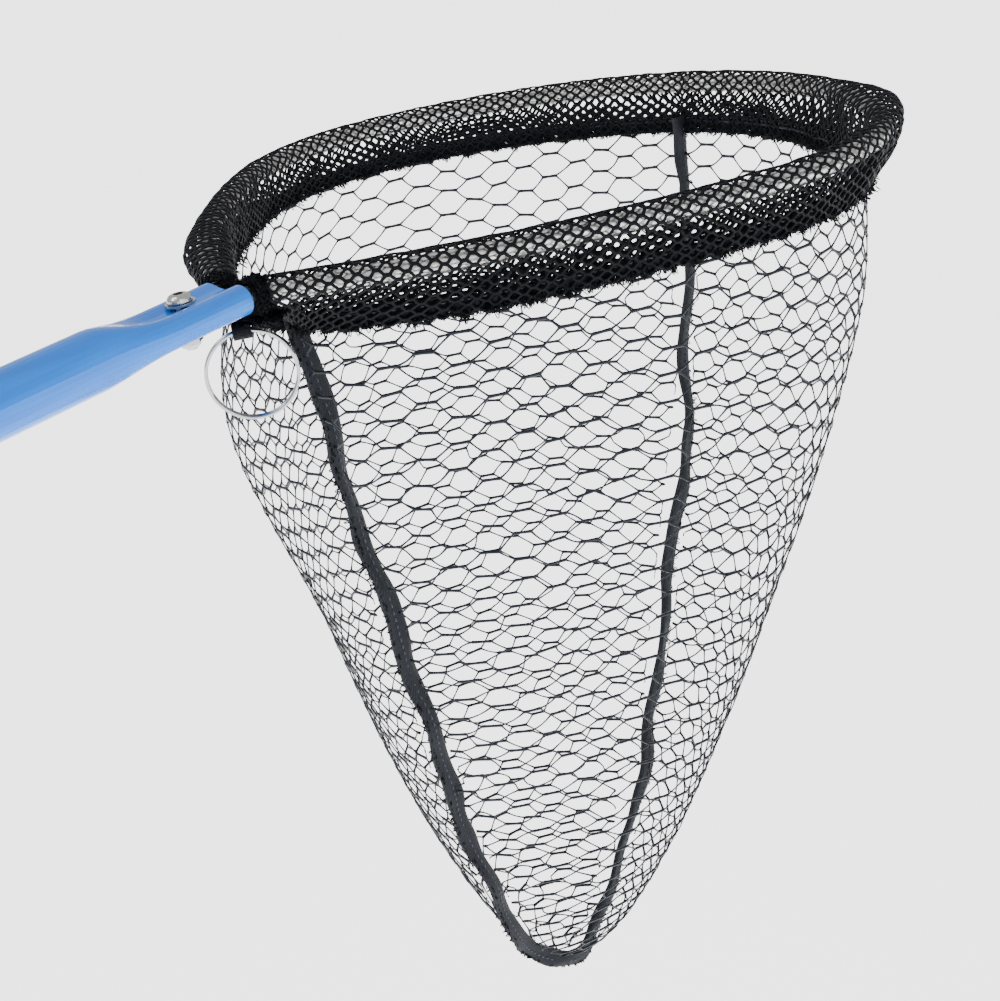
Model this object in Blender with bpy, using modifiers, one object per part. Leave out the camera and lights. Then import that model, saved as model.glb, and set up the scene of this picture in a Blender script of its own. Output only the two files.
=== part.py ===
"""Landing net: a pressed tube handle, a bent hoop, a knit sleeve and a two-panel net bag.

Metres, +Z up. The origin is the middle of the hand hold, on the handle's axis.
+X runs from the hand to the hoop's tip, the hoop lies in the plane z = 0, +Y is the left side.
"""
import math

import bmesh
import bpy
import numpy as np
from mathutils import Vector

# ---------------------------------------------------------------- driving sizes
# handle
TUBE_R = 0.0127            # outside radius of the round tube
TUBE_WALL = 0.0016
BUTT_X = -0.080            # butt end of the tube
MOUTH_X = 0.130            # pressed end of the tube
PRESS_LENGTH = 0.074       # from the first dent to the mouth
PRESS_BLEND = 0.036        # length over which round turns into pressed
WAIST_DEPTH = 0.0024       # how far the middle groove lies under the two lobes
CAP_PLUG = 0.022           # how far the end cap reaches into the tube
CAP_FLANGE = 0.006         # thickness of the cap's flange
CAP_LIP = 0.0016           # how far the flange stands proud of the tube

# hoop
CAP_ROUND = 0.0015         # rounding of the cap's flange and plug

HOOP_R = 0.00475           # outside radius of the hoop tube
HOOP_WALL = 0.0011
LEG_SPACING = 0.0192       # between the two legs' axes
LEG_INSIDE = 0.036         # length of a leg inside the handle
MOUTH_BEND_R = 0.016
MOUTH_BEND = math.radians(57)
HOOP_ARCS = (              # radius and turn of each arc after the mouth bend, down one side
    (0.450, math.radians(28)),
    (0.124, math.radians(31)),
    (0.091, math.radians(29)),
)

# fastening through both walls and between the legs
BOLT_BACK = 0.0245         # bolt axis behind the mouth
BOLT_R = 0.0030
HEAD_R = 0.0054
HEAD_H = 0.0032
SOCKET_FLATS = 0.0040
SOCKET_DEPTH = 0.0020
WASHER_R = 0.0065
WASHER_T = 0.0010
NUT_FLATS = 0.0100
NUT_H = 0.0042
INSERT_H = 0.0016
BOLT_END = 0.0012          # how far the bolt ends past the nut

# split ring
RING_R = 0.0200            # radius of the ring's middle line
RING_WIRE_R = 0.00085
RING_PITCH = 0.0018        # between the two turns
RING_AHEAD = 0.0070        # ring's top ahead of the mouth
RING_ASIDE = 0.0040        # and to the left of the middle plane
GATHER_AHEAD = 0.0100      # middle of the bunched knit ahead of the mouth
RING_TURN = math.radians(-45)   # heading of the ring's swing axis

# knit sleeve and skirt
SLEEVE_T = 0.0016          # thickness of the knit round the tube
CUFF_T = 0.0038            # thickness where it is bunched at the mouth
CUFF_START = 0.0024        # clear of the mouth's edge
CUFF_LENGTH = 0.030
GATHER_LENGTH = 0.0180     # bunched knit under the legs
GATHER_T = 0.0038
LOOP_LENGTH = 0.0080       # knit eye that holds the ring
LOOP_WALL = 0.0011
LOOP_CLEAR = 0.0010        # round the ring's two turns
SKIRT_T = 0.0020
SKIRT_DROP = 0.0245        # lower edge of the skirt under the hoop plane
SKIRT_INSET = 0.0030       # foot of the skirt, inside the hoop's middle line
TIP_TUCK = 0.0100          # foot of the skirt, pulled back from the hoop's tip
TIP_REACH = 0.0900         # stretch before the tip over which it is pulled back
CROTCH_AHEAD = 0.034       # where the two skirts meet, ahead of the mouth
CROTCH_REACH = 0.100       # length of hoop over which the skirt is drawn in to there

# bag
BAG_DEPTH = 0.475          # lowest point under the hoop plane
BAG_KEEL_X = 0.295         # lowest point along X
BAG_FULLNESS = (1.7, 0.72) # powers of the curve that a wall follows from hoop to keel
BAG_SWAY = (-0.009, 0.012) # how far the bottom hangs to one side, in X and Y
BAG_LEAN = (-0.016, 0.016) # how far the walls hang over, half way down, in X and Y
LEAN_GAIN = 2.6            # brings the fullest point of the wall to the whole lean
KEEL_FRONT = ((0.014, 0.25), (0.038, 0.59), (0.074, 0.88))     # metres past the crotch, share of the hang
KEEL_BACK = ((0.145, 0.92), (0.078, 0.63), (0.022, 0.29))      # metres before the seam's upper end
KEEL_SHY = 0.0040          # seam's upper end, inside the tip of the hoop
KEEL_TRIM = 0.0100         # panels and tape stop short of the seam's two ends
CLOTH_STEP = 0.0140        # between the knit's sections round the hoop
CUFF_STEP = 0.0040         # between a cuff's sections
NET_T = 0.0016             # thickness of the plain shell that stands for the netting
NET_START = 0.0016         # under the skirt's foot, clear of its slanted edge
SEAM_HALF = 0.0016         # between a panel's edge and the middle plane
TAPE_W = 0.0090            # binding tape, across the seam
TAPE_T = 0.0024
TAPE_CLEAR = 0.0024        # from the netting to the tape, room for the shell that curves away from it

GAP = 0.0003               # kept between pieces that touch
FIT = 0.0002               # running clearance of a pin in its hole

# ---------------------------------------------------------------- finishes
COLOURS = {
    "handle_blue": ((0.035, 0.240, 0.760, 1.0), 0.28, 0.35),
    "cap_black": ((0.020, 0.020, 0.022, 1.0), 0.55, 0.0),
    "bare_aluminium": ((0.620, 0.620, 0.610, 1.0), 0.38, 1.0),
    "stainless": ((0.700, 0.700, 0.690, 1.0), 0.22, 1.0),
    "nylon_white": ((0.750, 0.750, 0.720, 1.0), 0.45, 0.0),
    "knit_black": ((0.012, 0.013, 0.015, 1.0), 0.85, 0.0),
    "net_black": ((0.014, 0.016, 0.022, 1.0), 0.55, 0.0),
    "tape_black": ((0.022, 0.023, 0.027, 1.0), 0.80, 0.0),
}


def material(name):
    """One Principled material for each finish."""
    found = bpy.data.materials.get(name)
    if found:
        return found
    colour, roughness, metallic = COLOURS[name]
    made = bpy.data.materials.new(name)
    made.use_nodes = True
    shader = made.node_tree.nodes["Principled BSDF"]
    shader.inputs["Base Color"].default_value = colour
    shader.inputs["Roughness"].default_value = roughness
    shader.inputs["Metallic"].default_value = metallic
    made.diffuse_color = colour
    return made


# ---------------------------------------------------------------- scene helpers
def collection(name):
    made = bpy.data.collections.new(name)
    bpy.context.scene.collection.children.link(made)
    return made


def add(name, mesh, finish, group):
    """Link a mesh as a named part with its own finish."""
    made = bpy.data.objects.new(name, mesh)
    group.objects.link(made)
    made.data.materials.clear()
    made.data.materials.append(material(finish))
    return made


def mesh_from(name, points, faces):
    mesh = bpy.data.meshes.new(name)
    mesh.from_pydata([tuple(p) for p in points], [], faces)
    mesh.update()
    return mesh


def smooth(obj, degrees=35):
    obj.data.shade_smooth()
    obj.data.set_sharp_from_angle(angle=math.radians(degrees))


def turned(name, profile, finish, group, steps=32):
    """Turn a profile of (radius, height) pairs round local Z, its outer side top to bottom."""
    points = [(r, 0.0, z) for r, z in profile]
    closed = profile[0][0] > 1e-6
    edges = [(i, i + 1) for i in range(len(points) - 1)]
    if closed:
        edges.append((len(points) - 1, 0))
    mesh = bpy.data.meshes.new(name)
    mesh.from_pydata(points, edges, [])
    made = add(name, mesh, finish, group)
    screw = made.modifiers.new("turn", "SCREW")
    screw.axis = "Z"
    screw.steps = steps
    screw.render_steps = steps
    screw.use_merge_vertices = True
    screw.merge_threshold = 0.00001
    screw.use_smooth_shade = True
    return made


def cut(target, cutter):
    """Take one shape out of another and keep the cutter out of sight."""
    cutter.hide_render = True
    cutter.display_type = "WIRE"
    boolean = target.modifiers.new("cut_" + cutter.name, "BOOLEAN")
    boolean.operation = "DIFFERENCE"
    boolean.solver = "EXACT"
    boolean.object = cutter


def cylinder_cutter(name, radius, depth, sides, group):
    mesh = bpy.data.meshes.new(name)
    bm = bmesh.new()
    bmesh.ops.create_cone(bm, cap_ends=True, segments=sides, radius1=radius, radius2=radius, depth=depth)
    bm.to_mesh(mesh)
    bm.free()
    made = bpy.data.objects.new(name, mesh)
    group.objects.link(made)
    return made


def wire(name, points, radius, finish, group, sides_resolution=2):
    """A round wire along a chain of points."""
    curve = bpy.data.curves.new(name, "CURVE")
    curve.dimensions = "3D"
    curve.bevel_depth = radius
    curve.bevel_resolution = sides_resolution
    curve.use_fill_caps = True
    spline = curve.splines.new("POLY")
    spline.points.add(len(points) - 1)
    for spot, point in zip(spline.points, points):
        spot.co = (*point, 1.0)
    made = bpy.data.objects.new(name, curve)
    group.objects.link(made)
    made.data.materials.append(material(finish))
    return made


def smoothstep(value):
    t = min(max(value, 0.0), 1.0)
    return t * t * (3.0 - 2.0 * t)


# ---------------------------------------------------------------- the hoop's line
def hoop_side(step=0.005):
    """The left half of the hoop's line as (x, y, length from the mouth), mouth to tip."""
    points = [(MOUTH_X, LEG_SPACING / 2, 0.0)]
    heading = 0.0
    run = 0.0
    arcs = [(MOUTH_BEND_R, MOUTH_BEND, 1.0)] + [(r, turn, -1.0) for r, turn in HOOP_ARCS]
    for index in range(len(arcs) + 1):
        if index < len(arcs):
            radius, turn, side = arcs[index]
        else:                                   # the end arc closes on the centre line
            radius = points[-1][1] / math.cos(heading)
            turn = math.pi / 2 + heading
            side = -1.0
        x0, y0, _ = points[-1]
        cx = x0 - side * radius * math.sin(heading)
        cy = y0 + side * radius * math.cos(heading)
        count = max(3, int(math.ceil(radius * turn / step)))
        for k in range(1, count + 1):
            h = heading + side * turn * k / count
            points.append((cx + side * radius * math.sin(h),
                           cy - side * radius * math.cos(h),
                           run + radius * turn * k / count))
        heading += side * turn
        run += radius * turn
    return points


def hoop_stretch(start, end, step):
    """Points of the left half between two lengths from the mouth, as (x, y, length)."""
    side = np.array(hoop_side(step / 3))
    end = min(end, side[-1, 2])
    runs = np.linspace(start, end, int(math.ceil((end - start) / step)) + 1)
    return [(np.interp(r, side[:, 2], side[:, 0]), np.interp(r, side[:, 2], side[:, 1]), r) for r in runs]


def cuff_stretch():
    """The tight bend at the mouth, which the cuffs cover."""
    return hoop_stretch(CUFF_START, CUFF_LENGTH, CUFF_STEP)


def sleeve_stretch():
    """The rest of the left half, from the cuff to the tip."""
    return hoop_stretch(CUFF_LENGTH, math.inf, CLOTH_STEP)


def both_sides(side):
    """A stretch that ends at the tip, and its mirror image, as one chain of 3-D points."""
    left = [Vector((x, y, 0.0)) for x, y, _ in side]
    right = [Vector((x, -y, 0.0)) for x, y, _ in reversed(side[:-1])]
    return left + right


# ---------------------------------------------------------------- handle
def handle_section(pressed, inset, count=36):
    """Half-round to figure-of-eight outline of the tube, as (y, z) pairs."""
    round_r = TUBE_R - inset
    lobe_r = HOOP_R + GAP + TUBE_WALL - inset
    spacing = LEG_SPACING / 2
    waist = HOOP_R + GAP + TUBE_WALL - WAIST_DEPTH - inset
    outline = []
    for k in range(count):
        angle = 2 * math.pi * k / count
        y = (spacing + lobe_r) * math.cos(angle)
        off = abs(y) - spacing
        if off > 0:
            z = math.sqrt(max(lobe_r ** 2 - off ** 2, 0.0))
        else:
            z = waist + (lobe_r - waist) * smoothstep(abs(y) / spacing)
        z = math.copysign(z, math.sin(angle)) if abs(math.sin(angle)) > 1e-9 else 0.0
        ry = round_r * math.cos(angle)
        rz = round_r * math.sin(angle)
        outline.append((ry + (y - ry) * pressed, rz + (z - rz) * pressed))
    return outline


def handle_stations():
    """Places along the tube and how far it is pressed at each."""
    start = MOUTH_X - PRESS_LENGTH
    stations = [(BUTT_X, 0.0), ((BUTT_X + start) / 2, 0.0)]
    steps = 10
    for k in range(steps + 1):
        stations.append((start + PRESS_BLEND * k / steps, smoothstep(k / steps)))
    stations.append((MOUTH_X, 1.0))
    return stations


def handle_tube(parts, cutters):
    """Tube whose end is pressed into two lobes, one for each leg of the hoop."""
    count = 36
    points = []
    stations = handle_stations()
    for inset in (0.0, TUBE_WALL):
        for x, pressed in stations:
            points += [(x, y, z) for y, z in handle_section(pressed, inset, count)]
    rings = len(stations)

    def at(skin, ring, k):
        return (skin * rings + ring) * count + k % count

    faces = []
    for ring in range(rings - 1):
        for k in range(count):
            faces.append((at(0, ring, k), at(0, ring, k + 1), at(0, ring + 1, k + 1), at(0, ring + 1, k)))
            faces.append((at(1, ring, k), at(1, ring + 1, k), at(1, ring + 1, k + 1), at(1, ring, k + 1)))
    last = rings - 1
    for k in range(count):
        faces.append((at(0, 0, k), at(1, 0, k), at(1, 0, k + 1), at(0, 0, k + 1)))
        faces.append((at(0, last, k), at(0, last, k + 1), at(1, last, k + 1), at(1, last, k)))
    mesh = mesh_from("handle_tube", points, faces)
    bm = bmesh.new()
    bm.from_mesh(mesh)
    bmesh.ops.recalc_face_normals(bm, faces=bm.faces)
    bm.to_mesh(mesh)
    bm.free()
    tube = add("handle_tube", mesh, "handle_blue", parts)
    hole = cylinder_cutter("bolt_hole", BOLT_R + FIT, 4 * TUBE_R, 24, cutters)
    hole.location = (MOUTH_X - BOLT_BACK, 0.0, 0.0)
    cut(tube, hole)
    smooth(tube)


def end_cap(parts):
    """Plug with a flange that closes the butt of the tube; its end is flat."""
    bore = TUBE_R - TUBE_WALL - GAP
    rim = TUBE_R + CAP_LIP
    soft = CAP_ROUND
    profile = [(0.0, 0.0), (rim - soft, 0.0), (rim, -soft), (rim, -CAP_FLANGE), (bore, -CAP_FLANGE),
               (bore, -CAP_FLANGE - CAP_PLUG), (bore - soft, -CAP_FLANGE - CAP_PLUG - soft),
               (0.0, -CAP_FLANGE - CAP_PLUG - soft)]
    cap = turned("end_cap", profile, "cap_black", parts)
    cap.rotation_euler = (0.0, -math.pi / 2, 0.0)
    cap.location = (BUTT_X - GAP - CAP_FLANGE, 0.0, 0.0)


# ---------------------------------------------------------------- hoop
def pipe_along(name, points, outer, inner, finish, group, sides=8):
    """An open-ended pipe along a chain of points that lie level."""
    rows = []
    count = len(points)
    for index, point in enumerate(points):
        before = points[max(index - 1, 0)]
        after = points[min(index + 1, count - 1)]
        along = (after - before).normalized()
        across = Vector((along.y, -along.x, 0.0))
        rows.append((point, across))
    vertices = []
    for radius in (outer, inner):
        for point, across in rows:
            for k in range(sides):
                angle = 2 * math.pi * (k + 0.5) / sides
                vertices.append(point + across * (radius * math.cos(angle))
                                + Vector((0.0, 0.0, radius * math.sin(angle))))

    def at(skin, row, k):
        return (skin * count + row) * sides + k % sides

    faces = []
    for row in range(count - 1):
        for k in range(sides):
            faces.append((at(0, row, k), at(0, row, k + 1), at(0, row + 1, k + 1), at(0, row + 1, k)))
            faces.append((at(1, row, k), at(1, row + 1, k), at(1, row + 1, k + 1), at(1, row, k + 1)))
    for k in range(sides):
        faces.append((at(0, 0, k), at(1, 0, k), at(1, 0, k + 1), at(0, 0, k + 1)))
        end = count - 1
        faces.append((at(0, end, k), at(0, end, k + 1), at(1, end, k + 1), at(1, end, k)))
    mesh = mesh_from(name, vertices, faces)
    bm = bmesh.new()
    bm.from_mesh(mesh)
    bmesh.ops.recalc_face_normals(bm, faces=bm.faces)
    bm.to_mesh(mesh)
    bm.free()
    made = add(name, mesh, finish, group)
    smooth(made)
    return made


def hoop_tube(parts):
    """One bent tube; both legs run side by side into the handle's mouth."""
    inside = MOUTH_X - LEG_INSIDE
    side = [(inside, LEG_SPACING / 2, 0.0), (MOUTH_X, LEG_SPACING / 2, 0.0)]
    line = both_sides(side + cuff_stretch() + sleeve_stretch()[1:])
    pipe_along("hoop_tube", line, HOOP_R, HOOP_R - HOOP_WALL, "bare_aluminium", parts)


# ---------------------------------------------------------------- fastening
def stack_heights():
    """Heights of the faces in the bolted stack, above and under the handle's axis."""
    waist = HOOP_R + GAP + TUBE_WALL - WAIST_DEPTH
    lobe = HOOP_R + GAP + TUBE_WALL
    seat = waist + (lobe - waist) * smoothstep(WASHER_R / (LEG_SPACING / 2)) + GAP
    return seat, seat + WASHER_T + GAP


def washer(name, height, parts):
    hole = BOLT_R + FIT
    profile = [(WASHER_R, height + WASHER_T), (WASHER_R, height), (hole, height), (hole, height + WASHER_T)]
    made = turned(name, profile, "stainless", parts, 32)
    made.location = (MOUTH_X - BOLT_BACK, 0.0, 0.0)


def cross_bolt(parts, cutters):
    """Button head screw with a hexagon socket."""
    _, head_base = stack_heights()
    tip = -(head_base + NUT_H + BOLT_END)
    top = head_base + HEAD_H
    flat = HEAD_R * 0.52
    shoulder = head_base + 0.0004
    profile = [(0.0, top), (flat, top)]
    for k in range(1, 7):                       # the rounded flank of the head
        turn = math.pi / 2 * k / 6
        profile.append((flat + (HEAD_R - flat) * math.sin(turn),
                        shoulder + (top - shoulder) * math.cos(turn)))
    profile += [(HEAD_R, head_base), (BOLT_R, head_base), (BOLT_R, tip + 0.0005), (BOLT_R - 0.0005, tip),
                (0.0, tip)]
    bolt = turned("cross_bolt", profile, "stainless", parts, 28)
    socket = cylinder_cutter("bolt_socket", SOCKET_FLATS / math.sqrt(3), 2 * SOCKET_DEPTH, 6, cutters)
    for item in (bolt, socket):
        item.location = (MOUTH_X - BOLT_BACK, 0.0, 0.0)
    socket.location.z = top
    cut(bolt, socket)


def lock_nut(parts, cutters):
    """Hexagon nut with a round collar, and the nylon ring that grips the thread in it."""
    _, face = stack_heights()
    centre = (MOUTH_X - BOLT_BACK, 0.0, 0.0)
    body = NUT_H - INSERT_H
    mesh = bpy.data.meshes.new("lock_nut")
    bm = bmesh.new()
    bmesh.ops.create_cone(bm, cap_ends=True, segments=6, radius1=NUT_FLATS / math.sqrt(3),
                          radius2=NUT_FLATS / math.sqrt(3), depth=body)
    bmesh.ops.translate(bm, verts=bm.verts, vec=(0.0, 0.0, -face - body / 2))
    bm.to_mesh(mesh)
    bm.free()
    nut = add("lock_nut", mesh, "stainless", parts)
    nut.location = centre
    bevel = nut.modifiers.new("soften", "BEVEL")
    bevel.width = 0.0003
    bevel.segments = 1
    thread = cylinder_cutter("nut_thread", BOLT_R + FIT, 4 * NUT_H, 24, cutters)
    thread.location = (centre[0], 0.0, -face - body)
    cut(nut, thread)
    outer = NUT_FLATS / 2 - 0.0008
    inner = BOLT_R + FIT
    top = -face - body - GAP
    profile = [(outer, top), (outer, top - INSERT_H + 0.0005), (outer - 0.0005, top - INSERT_H),
               (inner, top - INSERT_H), (inner, top)]
    insert = turned("nut_insert", profile, "nylon_white", parts, 28)
    insert.location = centre


# ---------------------------------------------------------------- split ring
def ring_drop():
    """How far the ring's top lies under the hoop plane: cuff, gather and eye are above it."""
    above = HOOP_R + GAP + CUFF_T + GAP + GATHER_T + GAP
    return above + RING_PITCH / 2 + RING_WIRE_R + LOOP_CLEAR + LOOP_WALL


def split_ring(parts):
    """Wire coiled through two turns; it swings about its top, where it passes the knit."""
    pivot = bpy.data.objects.new("ring_swing", None)
    parts.objects.link(pivot)
    pivot.location = (MOUTH_X + RING_AHEAD, RING_ASIDE, -ring_drop())
    pivot.rotation_euler = (0.0, 0.0, RING_TURN)
    per_turn = 32
    turns = 2
    points = []
    for k in range(per_turn * turns + 1):
        angle = math.pi / 2 + 2 * math.pi * (k + 0.5 - per_turn * turns / 2) / per_turn + math.pi
        side = smoothstep((k - per_turn * turns / 2) / 8 + 0.5) * 2.0 - 1.0
        points.append((RING_R * math.cos(angle), side * RING_PITCH / 2, RING_R * math.sin(angle) - RING_R))
    ring = wire("split_ring", points, RING_WIRE_R, "stainless", parts, 2)
    ring.parent = pivot


# ---------------------------------------------------------------- knit sleeve and skirt
def sleeve(parts):
    """Knit drawn over the hoop tube, and bunched in a cuff round each leg at the mouth."""
    inner = HOOP_R + GAP
    line = both_sides(sleeve_stretch())
    line[0] = line[0].lerp(line[1], 0.04)       # clear of the cuffs' ends
    line[-1] = line[-1].lerp(line[-2], 0.04)
    pipe_along("hoop_sleeve", line, inner + SLEEVE_T, inner, "knit_black", parts)
    for name, side in (("cuff_left", 1.0), ("cuff_right", -1.0)):
        points = [Vector((x, side * y, 0.0)) for x, y, _ in cuff_stretch()]
        pipe_along(name, points, inner + CUFF_T, inner, "knit_black", parts, 10)


def skirt_foot(x, y, run):
    """Where the skirt's lower edge lies for a point of the hoop's left half."""
    drawn = 1.0 - smoothstep(run / CROTCH_REACH)
    foot_x = x + (MOUTH_X + CROTCH_AHEAD - x) * drawn
    foot_y = max(y - SKIRT_INSET, 0.0) * (1.0 - drawn) + SEAM_HALF * drawn
    tip = hoop_side()[-1][0]
    foot_x -= TIP_TUCK * smoothstep((x - tip + TIP_REACH) / TIP_REACH)
    return Vector((foot_x, foot_y, -SKIRT_DROP))


def ribbon(name, upper, lower, thickness, finish, group, rows=1):
    """A thin closed band between an upper and a lower chain of points."""
    count = len(upper)
    points = []
    for row in range(rows + 1):
        share = row / rows
        points += [a.lerp(b, share) for a, b in zip(upper, lower)]
    faces = []
    for row in range(rows):
        for k in range(count - 1):
            a = row * count + k
            faces.append((a, a + count, a + count + 1, a + 1))
    made = add(name, mesh_from(name, points, faces), finish, group)
    thick = made.modifiers.new("thickness", "SOLIDIFY")
    thick.thickness = thickness
    thick.offset = 0.0
    return made


def skirt(parts):
    """The doubled edge of the knit that hangs under the tube and carries the netting."""
    top = -(HOOP_R + GAP + SLEEVE_T + GAP + SKIRT_T / 2)
    upper = []
    lower = []
    for x, y, run in hoop_stretch(CUFF_LENGTH + SKIRT_T, math.inf, CLOTH_STEP):
        upper.append(Vector((x, y, top)))
        lower.append(skirt_foot(x, y, run))
    mirrored = Vector((1.0, -1.0, 1.0))
    upper += [p * mirrored for p in reversed(upper[:-1])]
    lower += [p * mirrored for p in reversed(lower[:-1])]
    band = ribbon("skirt_band", upper, lower, SKIRT_T, "knit_black", parts, 2)
    smooth(band)


# ---------------------------------------------------------------- bag
def keel_line(count=32, trim=KEEL_TRIM):
    """The bag's seam in the middle plane, handle side to tip side, as evenly spaced (x, z)."""
    crotch = MOUTH_X + CROTCH_AHEAD
    tip = hoop_side()[-1][0] - TIP_TUCK - KEEL_SHY
    hang = BAG_DEPTH - SKIRT_DROP - NET_START
    route = [(crotch, 0.0)]                    # x, and the share of the hang reached there
    route += [(crotch + ahead, share) for ahead, share in KEEL_FRONT]
    route += [(BAG_KEEL_X, 1.0)]
    route += [(tip - back, share) for back, share in KEEL_BACK]
    route += [(tip, 0.0)]
    dense = []
    for k in range(len(route) - 1):
        ends = [route[max(k - 1, 0)], route[k], route[k + 1], route[min(k + 2, len(route) - 1)]]
        for step in range(12):
            t = step / 12
            spot = []
            for a, b, c, d in zip(*ends):      # a smooth curve through the route
                spot.append(0.5 * (2 * b + (c - a) * t + (2 * a - 5 * b + 4 * c - d) * t ** 2
                                   + (3 * b - a - 3 * c + d) * t ** 3))
            dense.append((spot[0], -SKIRT_DROP - NET_START - hang * spot[1]))
    dense.append((tip, -SKIRT_DROP - NET_START))
    dense = np.array(dense)
    run = np.concatenate([[0.0], np.cumsum(np.hypot(*np.diff(dense, axis=0).T))])
    even = np.linspace(trim, run[-1] - trim, count + 1)
    return np.column_stack([np.interp(even, run, dense[:, 0]), np.interp(even, run, dense[:, 1])])


def swayed(x, y, z):
    """The point moved with the bag, which hangs more to one side the deeper it goes."""
    share = min(max((-z - SKIRT_DROP - NET_START) / (BAG_DEPTH - SKIRT_DROP - NET_START), 0.0), 1.1)
    return Vector((x + BAG_SWAY[0] * share ** 2.5, y + BAG_SWAY[1] * share ** 2.5, z))


def wall_grid(side, rows=10):
    """One panel of the bag, from the skirt's foot down to the seam."""
    line = hoop_stretch(0.0, math.inf, CUFF_STEP)
    hoop = np.array([(*skirt_foot(x, y, run), run) for x, y, run in line])
    keel = keel_line()
    columns = len(keel) - 1
    top_z = -SKIRT_DROP - NET_START
    widest = hoop[:, 1].max()
    grid = []
    for c in range(columns + 1):
        share = c / columns
        run = share * hoop[-1, 3]
        top_x = np.interp(run, hoop[:, 3], hoop[:, 0])
        top_y = max(np.interp(run, hoop[:, 3], hoop[:, 1]), SEAM_HALF)
        keel_x, keel_z = keel[c]
        hang = top_y / widest
        column = []
        for r in range(rows + 1):
            s = r / rows
            g = 1.0 - (1.0 - s ** BAG_FULLNESS[0]) ** BAG_FULLNESS[1]
            over = LEAN_GAIN * s * (1.0 - g) * hang
            x = top_x + (keel_x - top_x) * g + BAG_LEAN[0] * over
            y = side * (top_y * (1.0 - g) + SEAM_HALF * g) + BAG_LEAN[1] * over
            column.append(swayed(x, y, top_z + (keel_z - top_z) * s))
        grid.append(column)
    return grid


def net_panel(name, side, parts):
    """Half of the bag as a thin shell: the netting between the skirt and the middle seam."""
    grid = wall_grid(side)
    rows = len(grid[0])
    points = [p for column in grid for p in column]
    faces = []
    for c in range(len(grid) - 1):
        for r in range(rows - 1):
            a = c * rows + r
            faces.append((a, a + 1, a + rows + 1, a + rows))
    panel = add(name, mesh_from(name, points, faces), "net_black", parts)
    thick = panel.modifiers.new("thickness", "SOLIDIFY")
    thick.thickness = NET_T
    thick.offset = 0.0
    smooth(panel)


def seam_tape(parts):
    """Binding folded over the seam: it stands out from the bag in the middle plane."""
    keel = keel_line()
    inner = []
    outer = []
    clear = NET_T / 2 + TAPE_CLEAR
    for k, (x, z) in enumerate(keel):
        before = keel[max(k - 1, 0)]
        after = keel[min(k + 1, len(keel) - 1)]
        along = (after - before) / np.hypot(*(after - before))
        out = (along[1], -along[0])
        inner.append(swayed(x + out[0] * clear, 0.0, z + out[1] * clear))
        outer.append(swayed(x + out[0] * (clear + TAPE_W), 0.0, z + out[1] * (clear + TAPE_W)))
    ribbon("seam_tape", inner, outer, TAPE_T, "tape_black", parts)


def crotch_gather(parts):
    """Knit bunched and sewn flat under the two legs at the mouth."""
    width = LEG_SPACING + 2 * (HOOP_R + CUFF_T)
    top = -(HOOP_R + GAP + CUFF_T + GAP)
    mesh = bpy.data.meshes.new("crotch_gather")
    bm = bmesh.new()
    bmesh.ops.create_cube(bm, size=1.0)
    bmesh.ops.scale(bm, vec=(GATHER_LENGTH, width, GATHER_T), verts=bm.verts)
    bmesh.ops.translate(bm, verts=bm.verts, vec=(MOUTH_X + GATHER_AHEAD, 0.0, top - GATHER_T / 2))
    bm.to_mesh(mesh)
    bm.free()
    lump = add("crotch_gather", mesh, "knit_black", parts)
    bevel = lump.modifiers.new("soften", "BEVEL")
    bevel.width = GATHER_T * 0.3
    bevel.segments = 2


def ring_loop(parts):
    """The small eye of sewn knit that the ring's wire goes through."""
    bore = RING_PITCH / 2 + RING_WIRE_R + LOOP_CLEAR
    half = LOOP_LENGTH / 2
    profile = [(bore + LOOP_WALL, half), (bore + LOOP_WALL, -half), (bore, -half), (bore, half)]
    loop = turned("ring_loop", profile, "knit_black", parts, 20)
    loop.rotation_euler = (math.pi / 2, 0.0, RING_TURN + math.pi / 2)
    loop.location = (MOUTH_X + RING_AHEAD, RING_ASIDE, -ring_drop())


def clear_scene():
    for item in list(bpy.data.objects):
        bpy.data.objects.remove(item, do_unlink=True)


def main():
    clear_scene()
    parts = collection("landing_net")
    cutters = collection("cutters")
    handle_tube(parts, cutters)
    end_cap(parts)
    hoop_tube(parts)
    seat, _ = stack_heights()
    washer("washer_top", seat, parts)
    washer("washer_bottom", -seat - WASHER_T, parts)
    cross_bolt(parts, cutters)
    lock_nut(parts, cutters)
    split_ring(parts)
    sleeve(parts)
    skirt(parts)
    crotch_gather(parts)
    ring_loop(parts)
    net_panel("net_panel_left", 1.0, parts)
    net_panel("net_panel_right", -1.0, parts)
    seam_tape(parts)


main()
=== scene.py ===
# %% [markdown]
# # Landing net: the imported frame
# The handle, bolt, nut and end cap keep the shapes of the imported model.
# The cloth parts there are plain stand-ins: closed bands and thin shells with the true outer size.
# This script gives each of them its real make-up, strand by strand, and gives every piece its finish.
# The box of the imported model is kept.

# %% Load the frame
import math

import bpy
import numpy as np
from mathutils import Matrix, Vector


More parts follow.
